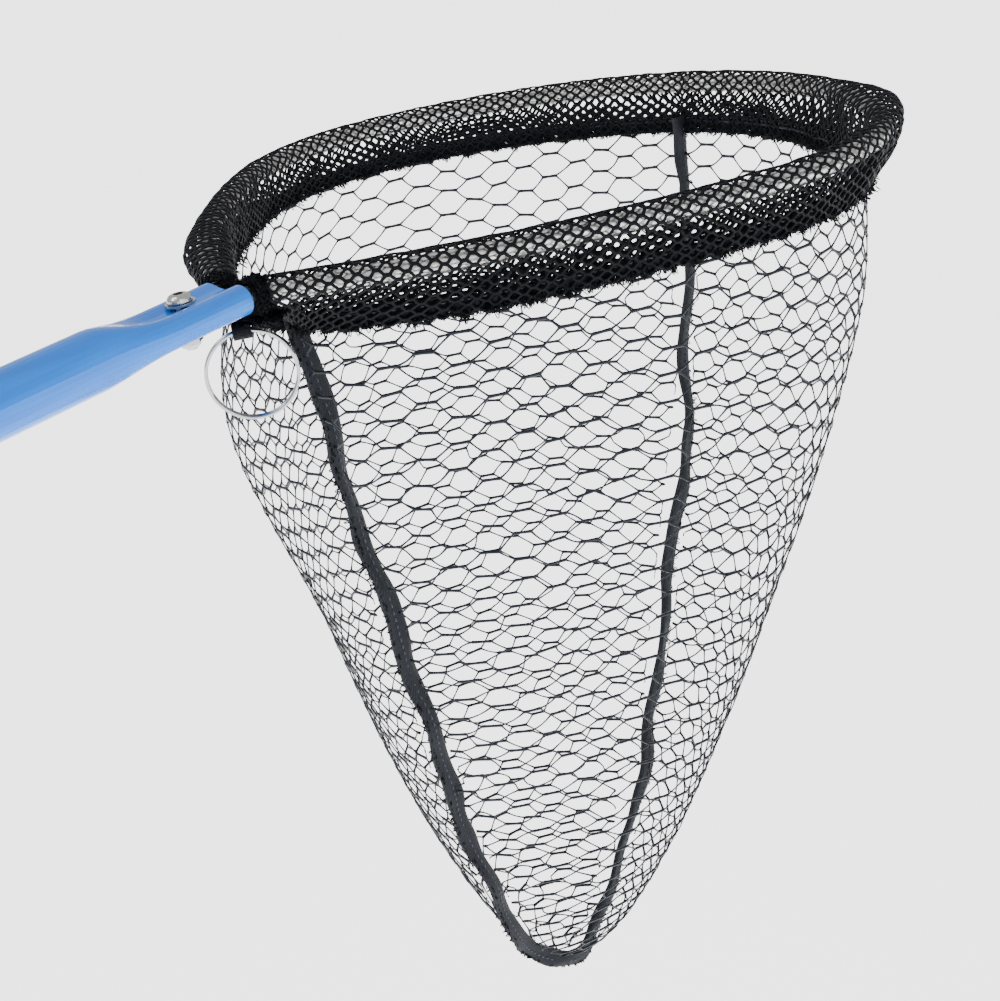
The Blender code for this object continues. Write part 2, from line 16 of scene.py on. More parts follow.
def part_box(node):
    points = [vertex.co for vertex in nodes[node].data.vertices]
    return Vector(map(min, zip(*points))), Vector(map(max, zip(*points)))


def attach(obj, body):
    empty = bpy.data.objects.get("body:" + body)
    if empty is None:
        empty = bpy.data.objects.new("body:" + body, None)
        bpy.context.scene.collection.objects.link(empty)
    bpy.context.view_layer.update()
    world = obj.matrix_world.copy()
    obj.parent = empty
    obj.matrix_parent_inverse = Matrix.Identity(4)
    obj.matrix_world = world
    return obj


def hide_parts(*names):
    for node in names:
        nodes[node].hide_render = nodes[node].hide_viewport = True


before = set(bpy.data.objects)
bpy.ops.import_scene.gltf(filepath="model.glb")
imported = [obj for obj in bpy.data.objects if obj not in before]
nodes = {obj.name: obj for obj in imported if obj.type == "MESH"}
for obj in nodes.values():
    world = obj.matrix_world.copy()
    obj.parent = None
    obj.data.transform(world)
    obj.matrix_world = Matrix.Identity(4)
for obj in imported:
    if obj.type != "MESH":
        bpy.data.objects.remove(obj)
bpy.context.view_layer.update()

# %% [markdown]
# # Camera
# The net is looked at from above its right side, just behind the mouth of the handle.
# The lens is a little longer than a normal one, and the object runs out of the left edge of the view.
# The camera's own axes are given as three unit vectors, because the net hangs level and the view
# is tilted. Angles would say the same, but vectors can be read straight as right, up and back.

# %% Camera
VIEW_PLACE = (-0.2982, -0.5141, 0.1770)
VIEW_RIGHT = (0.5991, -0.7823, -0.1702)
VIEW_UP = (0.4198, 0.1259, 0.8989)
VIEW_BACK = (-0.6818, -0.6100, 0.4038)
LENS_MM = 57.6
SENSOR_MM = 36.0


def make_camera():
    data = bpy.data.cameras.new("view_camera")
    data.lens = LENS_MM
    data.sensor_width = SENSOR_MM
    data.sensor_fit = "HORIZONTAL"
    data.clip_start = 0.02
    camera = bpy.data.objects.new("view_camera", data)
    bpy.context.scene.collection.objects.link(camera)
    turn = Matrix((VIEW_RIGHT, VIEW_UP, VIEW_BACK)).transposed().to_quaternion().to_matrix()
    camera.matrix_world = Matrix.Translation(VIEW_PLACE) @ turn.to_4x4()
    bpy.context.scene.camera = camera


make_camera()
print("camera at", VIEW_PLACE)

# %% [markdown]
# # Small helpers for meshes
# Most pieces are made here as points and faces and then handed to Blender in one call.
# Blender's own curve objects could draw a yarn too, but thousands of them are slow to convert.

# %% Meshes and directions
HOME = bpy.context.scene.collection


def add_mesh(name, points, faces, smooth=True):
    """A new mesh object from points and faces, which are quads or triangles."""
    data = bpy.data.meshes.new(name)
    rows = faces.tolist() if hasattr(faces, "tolist") else [list(face) for face in faces]
    data.from_pydata(np.asarray(points, float).tolist(), [], rows)
    data.polygons.foreach_set("use_smooth", [smooth] * len(data.polygons))
    data.update()
    made = bpy.data.objects.new(name, data)
    HOME.objects.link(made)
    return made


def unit(v):
    return v / np.maximum(np.linalg.norm(v, axis=-1, keepdims=True), 1e-9)


def strip_mesh(name, grid):
    """A mesh of quads over a grid of points (rows, columns, 3), closed round the columns."""
    grid = np.asarray(grid, float)
    index = np.arange(grid.shape[0] * grid.shape[1]).reshape(grid.shape[:2])
    right = np.roll(index, -1, 1)
    quads = np.stack([index[:-1], right[:-1], right[1:], index[1:]], axis=-1)
    return add_mesh(name, grid.reshape(-1, 3), quads.reshape(-1, 4))


print("new meshes go in the collection", HOME.name)

# %% [markdown]
# # Yarn as tubes
# Every cloth part is made of yarn. A yarn is a row of points with a surface direction at each point.
# One function turns a whole batch of yarns into tubes at once, each with its own width and thickness.
# It works on arrays: a bag has thousands of short yarns, and a loop over faces would take minutes.

# %% Yarn tubes
def yarn_tubes(lines, normals, width, thick, sides, closed=False):
    """Points and faces of one tube along each line. lines and normals are (yarns, points, 3)."""
    lines = np.asarray(lines, float)
    count, steps = lines.shape[:2]
    along = unit(np.gradient(lines, axis=1))
    across = unit(np.cross(along, normals))
    out = unit(np.cross(across, along))
    angle = np.linspace(0, 2 * math.pi, sides, endpoint=False)
    width = np.broadcast_to(np.asarray(width, float), (count, steps))[..., None, None]
    thick = np.broadcast_to(np.asarray(thick, float), (count, steps))[..., None, None]
    ring = (across[:, :, None, :] * np.cos(angle)[:, None] * width / 2
            + out[:, :, None, :] * np.sin(angle)[:, None] * thick / 2)
    points = (lines[:, :, None, :] + ring).reshape(-1, 3)
    index = np.arange(count * steps * sides).reshape(count, steps, sides)
    a, b = index[:, :-1, :], index[:, 1:, :]
    quads = np.stack([a, np.roll(a, -1, 2), np.roll(b, -1, 2), b], axis=-1).reshape(-1, 4)
    if not closed:
        return points, quads
    first = index[:, 0, ::-1].reshape(-1, sides)
    last = index[:, -1, :].reshape(-1, sides)
    return points, [*quads.tolist(), *first.tolist(), *last.tolist()]


def add_yarns(name, batches):
    """One mesh from several batches of yarn, each (lines, normals, width, thick, sides)."""
    points, faces, start = [], [], 0
    for lines, normals, width, thick, sides in batches:
        p, f = yarn_tubes(lines, normals, width, thick, sides)
        points.append(p)
        faces.append(np.asarray(f) + start)
        start += len(p)
    return add_mesh(name, np.concatenate(points), np.concatenate(faces))


trial = yarn_tubes(np.linspace(0, 1, 15).reshape(1, 5, 3), np.ones((1, 5, 3)), 0.1, 0.1, 6)
print("a yarn of 5 points and 6 sides has", len(trial[1]), "faces")

# %% [markdown]
# # Smooth steps and waves
# Cloth bends gently from one state to the next, and never twice alike. A smoothstep gives the gentle
# change, and a sum of five sine waves with seeded sizes gives unevenness that is the same in every run.

# %% Steps and waves
WAVE_PARTS = 5
WAVE_SCALE = 3.2
WAVE_SPREAD = (0.4, 1.6)
SEED = 7


def smoothstep(t):
    t = np.clip(t, 0.0, 1.0)
    return t * t * (3 - 2 * t)


def wave(seed, *freedoms):
    """A smooth random surface over the given coordinates, from -1 to 1, the same for the same seed."""
    draw = np.random.default_rng(seed)
    total = 0.0
    for _ in range(WAVE_PARTS):
        phase = draw.uniform(0, 2 * math.pi)
        for f in freedoms:
            phase = phase + f * draw.uniform(*WAVE_SPREAD) * draw.choice([-1, 1])
        total = total + np.sin(phase)
    return total / WAVE_SCALE


print("wave at four places:", np.round(wave(SEED, np.arange(4.0)), 3))

# %% [markdown]
# # Materials
# Each finish is a small node tree: a shader, a pattern in object space for colour and roughness,
# and a bump. Object space is in metres, so a grain keeps its real size on every piece, and nothing
# has to be unwrapped. Four small helpers build every tree in this file.

# %% Material helpers
def new_material(name, colour, rough, metal=0.0, **extra):
    made = bpy.data.materials.new(name)
    made.use_nodes = True
    shader = made.node_tree.nodes["Principled BSDF"]
    shader.inputs["Base Color"].default_value = (*colour, 1)
    shader.inputs["Roughness"].default_value = rough
    shader.inputs["Metallic"].default_value = metal
    for key, value in extra.items():
        shader.inputs[key.replace("_", " ")].default_value = value
    made.diffuse_color = (*colour, 1)
    return made


def place_pattern(made, kind, scale, stretch=(1, 1, 1), turn=(0, 0, 0), **settings):
    """A pattern node that reads the object's own metres, stretched along an axis."""
    tree = made.node_tree
    where = tree.nodes.new("ShaderNodeTexCoord")
    shift = tree.nodes.new("ShaderNodeMapping")
    shift.inputs["Scale"].default_value = stretch
    shift.inputs["Rotation"].default_value = turn
    pattern = tree.nodes.new(kind)
    pattern.inputs["Scale"].default_value = scale
    for key, value in settings.items():
        pattern.inputs[key].default_value = value
    tree.links.new(where.outputs["Object"], shift.inputs["Vector"])
    tree.links.new(shift.outputs["Vector"], pattern.inputs["Vector"])
    return pattern


def ramp_into(made, pattern, output, socket, low, high, start=0.35, end=0.65):
    """The pattern drives a socket between two values or two colours."""
    tree = made.node_tree
    ramp = tree.nodes.new("ShaderNodeValToRGB")
    ramp.color_ramp.elements[0].position = start
    ramp.color_ramp.elements[1].position = end
    low = low if hasattr(low, "__len__") else (low,) * 3
    high = high if hasattr(high, "__len__") else (high,) * 3
    ramp.color_ramp.elements[0].color = (*low, 1)
    ramp.color_ramp.elements[1].color = (*high, 1)
    shader = tree.nodes["Principled BSDF"]
    tree.links.new(pattern.outputs[output], ramp.inputs["Fac"])
    tree.links.new(ramp.outputs["Color"], shader.inputs[socket])


def bump_from(made, pattern, output, strength, distance):
    tree = made.node_tree
    bump = tree.nodes.new("ShaderNodeBump")
    bump.inputs["Strength"].default_value = strength
    bump.inputs["Distance"].default_value = distance
    tree.links.new(pattern.outputs[output], bump.inputs["Height"])
    shader = tree.nodes["Principled BSDF"]
    tree.links.new(bump.outputs["Normal"], shader.inputs["Normal"])


print("material helpers ready")

# %% [markdown]
# # Paint, metal and plastic
# The handle is painted aluminium under a clear coat, so it has long soft streaks and a trace of
# orange peel. Fasteners are turned stainless steel and the ring is bright plated wire.
# Sizes in these patterns are real: a scale of 1000 is about one feature per millimetre.

# %% Hard finishes
def handle_paint():
    made = new_material("blue_paint", (0.0, 0.12, 0.62), 0.26, 0.1,
                        Coat_Weight=0.18, Coat_Roughness=0.06, Specular_IOR_Level=0.3)
    streaks = place_pattern(made, "ShaderNodeTexNoise", 160, (0.10, 1, 1), Detail=4.0)
    ramp_into(made, streaks, "Fac", "Base Color", (0.0, 0.14, 0.60), (0.0, 0.175, 0.70))
    peel = place_pattern(made, "ShaderNodeTexNoise", 900, Detail=2.0)
    bump_from(made, peel, "Fac", 0.05, 0.0002)
    rub = place_pattern(made, "ShaderNodeTexNoise", 420, (0.3, 1, 1), Detail=6.0)
    ramp_into(made, rub, "Fac", "Roughness", 0.16, 0.30)
    return made


def brushed(name, colour, rough, stretch, grain=1800):
    made = new_material(name, colour, rough, 1.0)
    lines = place_pattern(made, "ShaderNodeTexNoise", grain, stretch, Detail=3.0)
    dark = tuple(c * 0.80 for c in colour)
    ramp_into(made, lines, "Fac", "Base Color", dark, colour)
    soft = place_pattern(made, "ShaderNodeTexNoise", grain / 3, stretch, Detail=2.0)
    ramp_into(made, soft, "Fac", "Roughness", rough * 0.7, rough * 1.3)
    bump_from(made, lines, "Fac", 0.08, 0.0001)
    return made


def chrome():
    made = new_material("bright_wire", (0.42, 0.43, 0.45), 0.10, 1.0)
    haze = place_pattern(made, "ShaderNodeTexNoise", 500, Detail=3.0)
    ramp_into(made, haze, "Fac", "Roughness", 0.04, 0.14)
    return made


def moulded(name, colour, rough):
    made = new_material(name, colour, rough)
    grain = place_pattern(made, "ShaderNodeTexNoise", 1600, Detail=3.0)
    ramp_into(made, grain, "Fac", "Roughness", rough * 0.8, min(rough * 1.2, 1))
    bump_from(made, grain, "Fac", 0.15, 0.0001)
    return made


PAINT = handle_paint()
STEEL = brushed("turned_steel", (0.46, 0.46, 0.45), 0.20, (1, 1, 6))
TUBE = brushed("drawn_aluminium", (0.78, 0.77, 0.75), 0.34, (0.2, 1, 1))
WIRE = chrome()
PLUG = moulded("black_plug", (0.018, 0.018, 0.02), 0.55)
INSERT = moulded("white_insert", (0.72, 0.72, 0.68), 0.45)
print("hard finishes:", len(bpy.data.materials))

# %% [markdown]
# # Yarn and tape
# Yarn is dark nylon or polyester. Fine filaments catch a cool light along their length, and that light is
# painted into the colour as a highlight: lighter cool stripes that follow the twist. The twist itself is
# in the bump. The binding is a close plain weave, so it has a checker instead.

# %% Soft finishes
SHEEN_TINT = (0.62, 0.74, 0.95, 1)


def yarn(name, dark, painted_glint, rough, twist, shine, sheen=0.0):
    """Filament yarn: a fine twist in the bump, a painted highlight of cool stripes along the twist in the
    colour, and a cool sheen at grazing angles.
    """
    made = new_material(name, dark, rough, Sheen_Weight=sheen, Sheen_Roughness=0.4,
                        Sheen_Tint=SHEEN_TINT, Specular_IOR_Level=shine)
    turn = place_pattern(made, "ShaderNodeTexWave", twist, (1, 0.6, 1.4), (0.3, 0.6, 0.2),
                         Distortion=3.0, Detail=2.0)
    # The lighter colour of the twist is a painted highlight: light caught along the filaments.
    ramp_into(made, turn, "Fac", "Base Color", dark, painted_glint)
    bump_from(made, turn, "Fac", 0.35, 0.0002)
    fuzz = place_pattern(made, "ShaderNodeTexNoise", 700, Detail=3.0)
    ramp_into(made, fuzz, "Fac", "Roughness", rough * 0.75, min(rough * 1.3, 1))
    return made


def woven_tape():
    made = new_material("woven_tape", (0.006, 0.007, 0.009), 0.66, Specular_IOR_Level=0.15)
    weave = place_pattern(made, "ShaderNodeTexChecker", 1300, (1, 1, 1.6), (0, 0.6, 0))
    ramp_into(made, weave, "Fac", "Base Color", (0.0035, 0.004, 0.006), (0.020, 0.023, 0.030), 0.2, 0.8)
    ribs = place_pattern(made, "ShaderNodeTexWave", 620, (1, 1, 1), (0, 0.6, 0), Distortion=0.6)
    bump_from(made, ribs, "Fac", 0.4, 0.0003)
    return made


# The second colour of each yarn is its painted highlight along the twist.
KNIT = yarn("knit_yarn", (0.0010, 0.0012, 0.0018), (0.005, 0.0065, 0.010), 0.6, 900, 0.10)
THREAD = yarn("sewing_thread", (0.02, 0.024, 0.032), (0.05, 0.058, 0.08), 0.5, 1400, 0.2, 0.25)
CORD = yarn("net_yarn", (0.0008, 0.0012, 0.0022), (0.007, 0.012, 0.024), 0.34, 520, 0.22)
TAPE = woven_tape()
print("finishes in all:", len(bpy.data.materials))

# %% [markdown]
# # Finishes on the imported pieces
# The handle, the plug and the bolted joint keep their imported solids: their faces are true already,
# so they only need a finish. Assigning a material doesn't touch the mesh.

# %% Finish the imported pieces
def finish_node(name, material):
    slots = nodes[name].material_slots
    if not slots:
        nodes[name].data.materials.append(material)
    for s in slots:
        s.material = material


for node, material in (("handle_tube", PAINT), ("end_cap", PLUG), ("cross_bolt", STEEL),
                       ("washer_top", STEEL), ("washer_bottom", STEEL), ("lock_nut", STEEL),
                       ("nut_insert", INSERT)):
    finish_node(node, material)
    print(node, "has", material.name)

# %% [markdown]
# # The hoop's line
# The hoop is bent from one tube. Each half is a run of arcs: a tight bend out of the handle, then
# three easier bends back, and an end arc that closes on the middle line.
# All the cloth hangs from this line, so it is worked out once, with the same radii as the tube.

# %% Hoop line
MOUTH_X = 0.130
LEG_SPACING = 0.0192
LEG_INSIDE = 0.036
MOUTH_BEND_R = 0.016
MOUTH_BEND = math.radians(57)
HOOP_ARCS = ((0.450, math.radians(28)), (0.124, math.radians(31)), (0.091, math.radians(29)))
HOOP_STEP = 0.0025


def arc_points(x0, y0, heading, radius, turn, side, step):
    """Points and the new heading along an arc that bends to one side (1 is left)."""
    count = max(3, int(math.ceil(radius * turn / step)))
    h = heading + side * turn * np.arange(1, count + 1) / count
    cx, cy = x0 - side * radius * math.sin(heading), y0 + side * radius * math.cos(heading)
    return cx + side * radius * np.sin(h), cy - side * radius * np.cos(h), h[-1]


def hoop_half():
    """The left half of the hoop as (x, y) from the mouth to the tip."""
    xs, ys, heading = [MOUTH_X], [LEG_SPACING / 2], 0.0
    for radius, turn, side in [(MOUTH_BEND_R, MOUTH_BEND, 1), *((r, t, -1) for r, t in HOOP_ARCS)]:
        x, y, heading = arc_points(xs[-1], ys[-1], heading, radius, turn, side, HOOP_STEP)
        xs.extend(x)
        ys.extend(y)
    radius = ys[-1] / math.cos(heading)
    x, y, _ = arc_points(xs[-1], ys[-1], heading, radius, math.pi / 2 + heading, -1, HOOP_STEP)
    return np.stack([[*xs, *x], [*ys, *y]], axis=1)


half = hoop_half()
half_run = np.concatenate([[0], np.cumsum(np.linalg.norm(np.diff(half, axis=0), axis=1))])
HALF_LENGTH = half_run[-1]
half_slope = unit(np.gradient(half, half_run, axis=0))
TIP_X = half[-1, 0]


def on_hoop(run, side=1):
    """The hoop's middle, its direction and its outward side at each run from the mouth, on one half."""
    x, y = (np.interp(run, half_run, half[:, k]) for k in (0, 1))
    tx, ty = (np.interp(run, half_run, half_slope[:, k]) for k in (0, 1))
    zero = np.zeros_like(x)
    middle = np.stack([x, side * y, zero], axis=-1)
    ahead = unit(np.stack([tx, side * ty, zero], axis=-1))
    outward = unit(np.stack([-ty, side * tx, zero], axis=-1))
    return middle, ahead, outward


print("half of the hoop:", round(HALF_LENGTH, 4), "m, tip at", round(TIP_X, 4))

# %% [markdown]
# # The foot of the skirt
# The knit hangs a little below the hoop and is sewn to the netting along its foot. That line is the
# border of the bag, so the sleeve above and the netting below both read it from here.
# Near the handle it is drawn in to the crotch, and the slack bag pulls it in under the hoop's far bend.

# %% Foot of the skirt
SKIRT_DROP = 0.0245
SKIRT_INSET = 0.003
SEAM_HALF = 0.0016
CROTCH_AHEAD = 0.034
CROTCH_REACH = 0.100
TIP_TUCK = 0.010
TIP_REACH = 0.090
PULL_IN = 0.011
PULL_RUN = 0.385
PULL_REACH = 0.085


def pull_in(run, side):
    """How far the slack bag pulls the right side in under the hoop, most where it turns to the tip."""
    return PULL_IN * np.exp(-((run - PULL_RUN) / PULL_REACH) ** 2) * (side < 0)


def skirt_foot(run, side=1):
    """Where the skirt ends below the hoop. Near the handle it is drawn in to the crotch of the bag."""
    middle, _, outward = on_hoop(run, side)
    drawn = 1 - smoothstep(run / CROTCH_REACH)
    x = middle[..., 0] + (MOUTH_X + CROTCH_AHEAD - middle[..., 0]) * drawn
    y = np.maximum(np.abs(middle[..., 1]) - SKIRT_INSET, 0) * (1 - drawn) + SEAM_HALF * drawn
    x = x - TIP_TUCK * smoothstep((middle[..., 0] - TIP_X + TIP_REACH) / TIP_REACH)
    foot = np.stack([x, side * y, np.full_like(x, -SKIRT_DROP)], axis=-1)
    return foot - outward * pull_in(run, side)[..., None]


print("foot of the skirt at the far bend:", np.round(skirt_foot(np.array([PULL_RUN]), -1)[0], 4))

# %% [markdown]
# # The bare tube and the split ring
# The hoop's tube shows through the open knit, so it is a round smooth tube on the same line.
# The split ring is spring wire wound twice, with its two ends cut square, and it swings on its own body.

# %% Hoop tube and ring
HOOP_R = 0.00475
HOOP_SIDES = 20
LEG_POINTS = 7
RING_R = 0.020
RING_WIRE_R = 0.00085
RING_SIDES = 10
RING_PITCH = 0.0018
RING_STEP_START = 0.88
RING_STEP_TURNS = 0.24


def pipe(name, line, normals, radius, sides, material):
    """A round closed tube along a line, with a material."""
    points, faces = yarn_tubes(line[None], normals[None], radius * 2, radius * 2, sides, closed=True)
    made = add_mesh(name, points, faces)
    made.data.materials.append(material)
    return made


def make_hoop():
    legs = np.linspace(MOUTH_X - LEG_INSIDE, MOUTH_X, LEG_POINTS + 1)[:-1]
    left = [(x, LEG_SPACING / 2) for x in legs] + half.tolist()
    line = np.array(left + [(x, -y) for x, y in left[-2::-1]])
    line = np.column_stack([line, np.zeros(len(line))])
    made = pipe("hoop_round", line, np.broadcast_to([0.0, 0.0, 1.0], line.shape), HOOP_R, HOOP_SIDES, TUBE)
    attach(made, "net")
    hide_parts("hoop_tube")
    return made


def make_ring():
    low, high = (np.array(corner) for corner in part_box("split_ring"))
    middle = (low + high) / 2
    flat = np.array([math.sin(math.pi / 4), math.cos(math.pi / 4), 0.0])
    level = np.array([math.cos(math.pi / 4), -math.sin(math.pi / 4), 0.0])
    turns = np.linspace(0, 4 * math.pi, 181)
    climb = RING_PITCH * smoothstep((turns / (2 * math.pi) - RING_STEP_START) / RING_STEP_TURNS)
    climb = climb - RING_PITCH / 2
    line = (middle + RING_R * (np.cos(turns)[:, None] * level + np.sin(turns)[:, None] * [0, 0, 1])
            + climb[:, None] * flat)
    made = pipe("ring_wire", line, unit(line - middle), RING_WIRE_R, RING_SIDES, WIRE)
    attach(made, "ring")
    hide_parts("split_ring")
    return made


for made in (make_hoop(), make_ring()):
    print(made.name, len(made.data.polygons), "faces")

# %% [markdown]
# # A hexagonal mesh of yarn on any surface
# Knotless netting and open warp knit have one pattern: short bars, and legs that run from each bar's end
# to the two bars of the next column, half a row up and half a row down.
# The pattern is laid out flat, in metres of cloth, and a surface function says where each point goes.
# A little seeded unevenness in the flat pattern keeps it from looking like chicken wire.

# %% Hexagonal mesh
SLOPE_STEP = 0.0006


def hex_lines(columns, rows, pitch, rise, bar, jitter, seed, steps):
    """Flat yarn lines of a hexagonal mesh: bars and legs as (yarns, points, 2)."""
    c, r = np.meshgrid(np.arange(columns[0], columns[1] + 1), np.arange(rows[0], rows[1] + 1),
                       indexing="ij")
    draw = np.random.default_rng(seed)
    centre = np.stack([c * pitch, (r + (c % 2) / 2) * rise], axis=-1)
    centre = centre + draw.normal(0, jitter, centre.shape)
    tilt = draw.normal(0, jitter / bar, c.shape)
    arm = np.stack([np.cos(tilt), np.sin(tilt)], axis=-1) * bar / 2
    left, right = centre - arm, centre + arm
    t = np.linspace(0, 1, steps + 1)[:, None]
    bars = (left[..., None, :] * (1 - t) + right[..., None, :] * t).reshape(-1, steps + 1, 2)
    legs = []
    for lift in (0, 1):
        other = np.where((c[:-1] % 2 == 1), lift, lift - 1)
        row = np.arange(c.shape[1])[None, :] + other
        inside = (row >= 0) & (row < c.shape[1])
        start = right[:-1][inside]
        end = left[1:][np.nonzero(inside)[0], row[inside]]
        legs.append(start[:, None, :] * (1 - t) + end[:, None, :] * t)
    return bars, np.concatenate(legs)


def on_surface(surface, flat):
    """Points and normals in space for flat points, from a surface function of (u, v)."""
    u, v = flat[..., 0], flat[..., 1]
    here = surface(u, v)
    du = surface(u + SLOPE_STEP, v) - surface(u - SLOPE_STEP, v)
    dv = surface(u, v + SLOPE_STEP) - surface(u, v - SLOPE_STEP)
    return here, unit(np.cross(du, dv))


print("three columns of three bars:", hex_lines((0, 2), (0, 2), 1, 1, 0.5, 0, SEED, 2)[0].shape)

# %% [markdown]
# # The knit sleeve and skirt
# One long strip of open warp knit is wrapped over the hoop's tube. Its two halves hang down together
# inside and outside, and are sewn to the netting at the foot. So each half of the hoop has one strip,
# from the outer foot, over the tube, to the inner foot.
# The knit pulls flat on the tube and shows the aluminium through its holes. At the hoop's shoulder and
# at its far bend the strip is loose and bags out.

# %% The strip's surface
KNIT_R = 0.0066
KNIT_FALL = 0.0215
WRAP_PAST = math.radians(22)
FOOT_HALF = 0.0013
LOOSE_ALL = 0.0006
SHOULDER_LOOSE = 0.0040
SHOULDER_RUN = 0.085
SHOULDER_REACH = 0.045
SHOULDER_RIGHT = 0.25
BEND_LOOSE = 0.0060
BEND_REACH = 0.030
LOOSE_FLAT = 0.72
RUCK = 0.0007
RUCK_START = 0.01
RUCK_REACH = 0.03
FALL_PULL = 0.0011
FALL_POWER = 0.92


def loose_fit(run, side):
    """How far the strip stands off the tube: it bags at the shoulder and at the far bend."""
    share = 1.0 if side > 0 else SHOULDER_RIGHT
    shoulder = SHOULDER_LOOSE * np.exp(-((run - SHOULDER_RUN) / SHOULDER_REACH) ** 2) * share
    far_bend = BEND_LOOSE * np.exp(-((run - PULL_RUN) / BEND_REACH) ** 2) * (side < 0)
    return shoulder + far_bend + LOOSE_ALL


def casing(side, swell, foot_half):
    """A surface function for the strip: u along the hoop, v across the strip from the outer foot."""
    arc = (KNIT_R + swell) * (math.pi + 2 * WRAP_PAST)

    def surface(u, v):
        run = np.clip(u, 0, HALF_LENGTH)
        middle, _, outward = on_hoop(run, side)
        foot = skirt_foot(run, side)
        ruck = RUCK * wave(11, run * 260, v * 300) * smoothstep((run - RUCK_START) / RUCK_REACH)
        radius = KNIT_R + swell + ruck + loose_fit(run, side)
        around = np.clip((v - KNIT_FALL) / arc, 0, 1) * (math.pi + 2 * WRAP_PAST) - WRAP_PAST
        up = np.stack([np.zeros_like(run), np.zeros_like(run), np.ones_like(run)], axis=-1)
        spare = radius - KNIT_R - swell
        bend = outward * np.cos(around)[..., None] + up * np.sin(around)[..., None]
        sunk = (LOOSE_FLAT * spare * np.sin(around))[..., None]
        ring_point = middle + bend * radius[..., None] - up * sunk
        outer = np.clip(1 - v / KNIT_FALL, 0, 1)
        inner = np.clip((v - KNIT_FALL - arc) / KNIT_FALL, 0, 1)
        fall = (outer + inner)[..., None]
        lean = np.where(v < KNIT_FALL + arc / 2, 1.0, -1.0)[..., None]
        foot_point = foot + outward * foot_half * lean
        pull = FALL_PULL * wave(23, run * 150, v * 120)[..., None]
        eased = fall ** FALL_POWER
        return ring_point * (1 - eased) + foot_point * eased + outward * pull * fall * (1 - fall) * 4

    return surface, 2 * KNIT_FALL + arc


print("strip is", round(casing(1, 0.0, FOOT_HALF)[1], 4), "m from foot to foot")

# %% [markdown]
# # Laying the knit
# The hexagonal pattern is cut to the strip and laid on its surface, yarn by yarn.
# A second, slightly finer layer covers only the lowest part of both sides, where the strip's edge is
# folded back up into the hem. Two layers of open knit show as the denser border that a real hem has.

# %% Sleeve and hem
KNIT_PITCH = 0.0040
KNIT_RISE = 0.0050
KNIT_BAR = 0.0017
KNIT_WIDTH = 0.00150
KNIT_THICK = 0.0010
KNIT_JITTER = 0.00016
BAR_SWELL = 1.25
SLEEVE_START = 0.004
CUFF_LENGTH = 0.030
HEM_FOLD = 0.0165
HEM_SWELL = 0.0005
HEM_SPREAD = 0.0012
HEM_FINE = 0.9


def knit_strip(name, side, swell, foot_half, seed, start=SLEEVE_START, keep=None, fine=1.0):
    surface, breadth = casing(side, swell, foot_half)
    columns = (int(start / KNIT_PITCH), int(HALF_LENGTH / KNIT_PITCH) + 1)
    rows = (0, int(breadth / KNIT_RISE) + 1)
    bars, legs = hex_lines(columns, rows, KNIT_PITCH, KNIT_RISE, KNIT_BAR, KNIT_JITTER, seed, 2)
    batches = []
    for flat, width in ((bars, KNIT_WIDTH * BAR_SWELL * fine), (legs, KNIT_WIDTH * fine)):
        flat = flat.copy()
        flat[..., 1] = np.clip(flat[..., 1], 0, breadth)
        middle = flat.mean(axis=1)
        fits = (middle[:, 0] > start) & (middle[:, 0] < HALF_LENGTH + KNIT_PITCH / 2)
        if keep is not None:
            fits &= keep(middle[:, 1], breadth)
        lines, normals = on_surface(surface, flat[fits])
        batches.append((lines, normals, width, KNIT_THICK * fine, 6))
    made = add_yarns(name, batches)
    made.data.materials.append(KNIT)
    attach(made, "net")
    return made, breadth


def hem_zone(v, breadth):
    """The lower part of both sides of the strip, where its edge is folded back up."""
    return (v < HEM_FOLD) | (v > breadth - HEM_FOLD)


for side, word in ((1, "left"), (-1, "right")):
    sleeve, breadth = knit_strip(f"sleeve_knit_{word}", side, 0.0, FOOT_HALF, SEED + side)
    hem, _ = knit_strip(f"hem_knit_{word}", side, HEM_SWELL, FOOT_HALF + HEM_SPREAD, SEED + 5 + side,
                        start=CUFF_LENGTH, keep=hem_zone, fine=HEM_FINE)
    print(sleeve.name, len(sleeve.data.polygons), hem.name, len(hem.data.polygons))
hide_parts("hoop_sleeve", "skirt_band")

# %% [markdown]
# # The dense hem
# Inside the fold of the hem the knit is packed so close that no holes show. That core is one wavy
# closed band round the foot, because yarns that can't be told apart needn't be made one by one.

# %% Hem band
BAND_START = 0.55
BAND_STEP = 0.0012
BAND_TOP = 0.0165
BAND_FOOT = 0.0225
BAND_HALF = 0.0019
BAND_RIPPLE = 0.0008
BAND_PLEAT = 0.0005
BAND_UNEVEN = 0.0007


def hem_band(side, word):
    """A dense band with a wavy outline round the foot of the skirt, closed like a flat tube."""
    run = np.arange(CUFF_LENGTH * BAND_START, HALF_LENGTH + BAND_STEP / 2, BAND_STEP)
    run[-1] = HALF_LENGTH
    foot = skirt_foot(run, side)
    middle, _, outward = on_hoop(run, side)
    height = np.linspace(0, 1, 9)
    loop = [(k, 1) for k in height] + [(k, -1) for k in height[::-1]]
    grid = np.zeros((len(run), len(loop), 3))
    for j, (k, face) in enumerate(loop):
        z = -BAND_TOP - (BAND_FOOT - BAND_TOP) * k
        share = (-z) / SKIRT_DROP
        base = middle * (1 - share) + foot * share
        ripple = BAND_RIPPLE * wave(31 + face, run * 900, k * 3) + BAND_PLEAT * np.sin(run * 1500 + face)
        thick = BAND_HALF * (0.75 + 0.35 * math.sin(math.pi * k)) + ripple
        grid[:, j] = base + outward * (face * thick)[:, None]
        grid[:, j, 2] = z + BAND_UNEVEN * wave(41, run * 500, k * 2)
    made = strip_mesh(f"hem_band_{word}", grid)
    made.data.materials.append(KNIT)
    return made


bands = {word: hem_band(side, word) for side, word in ((1, "left"), (-1, "right"))}
print({word: len(made.data.polygons) for word, made in bands.items()})

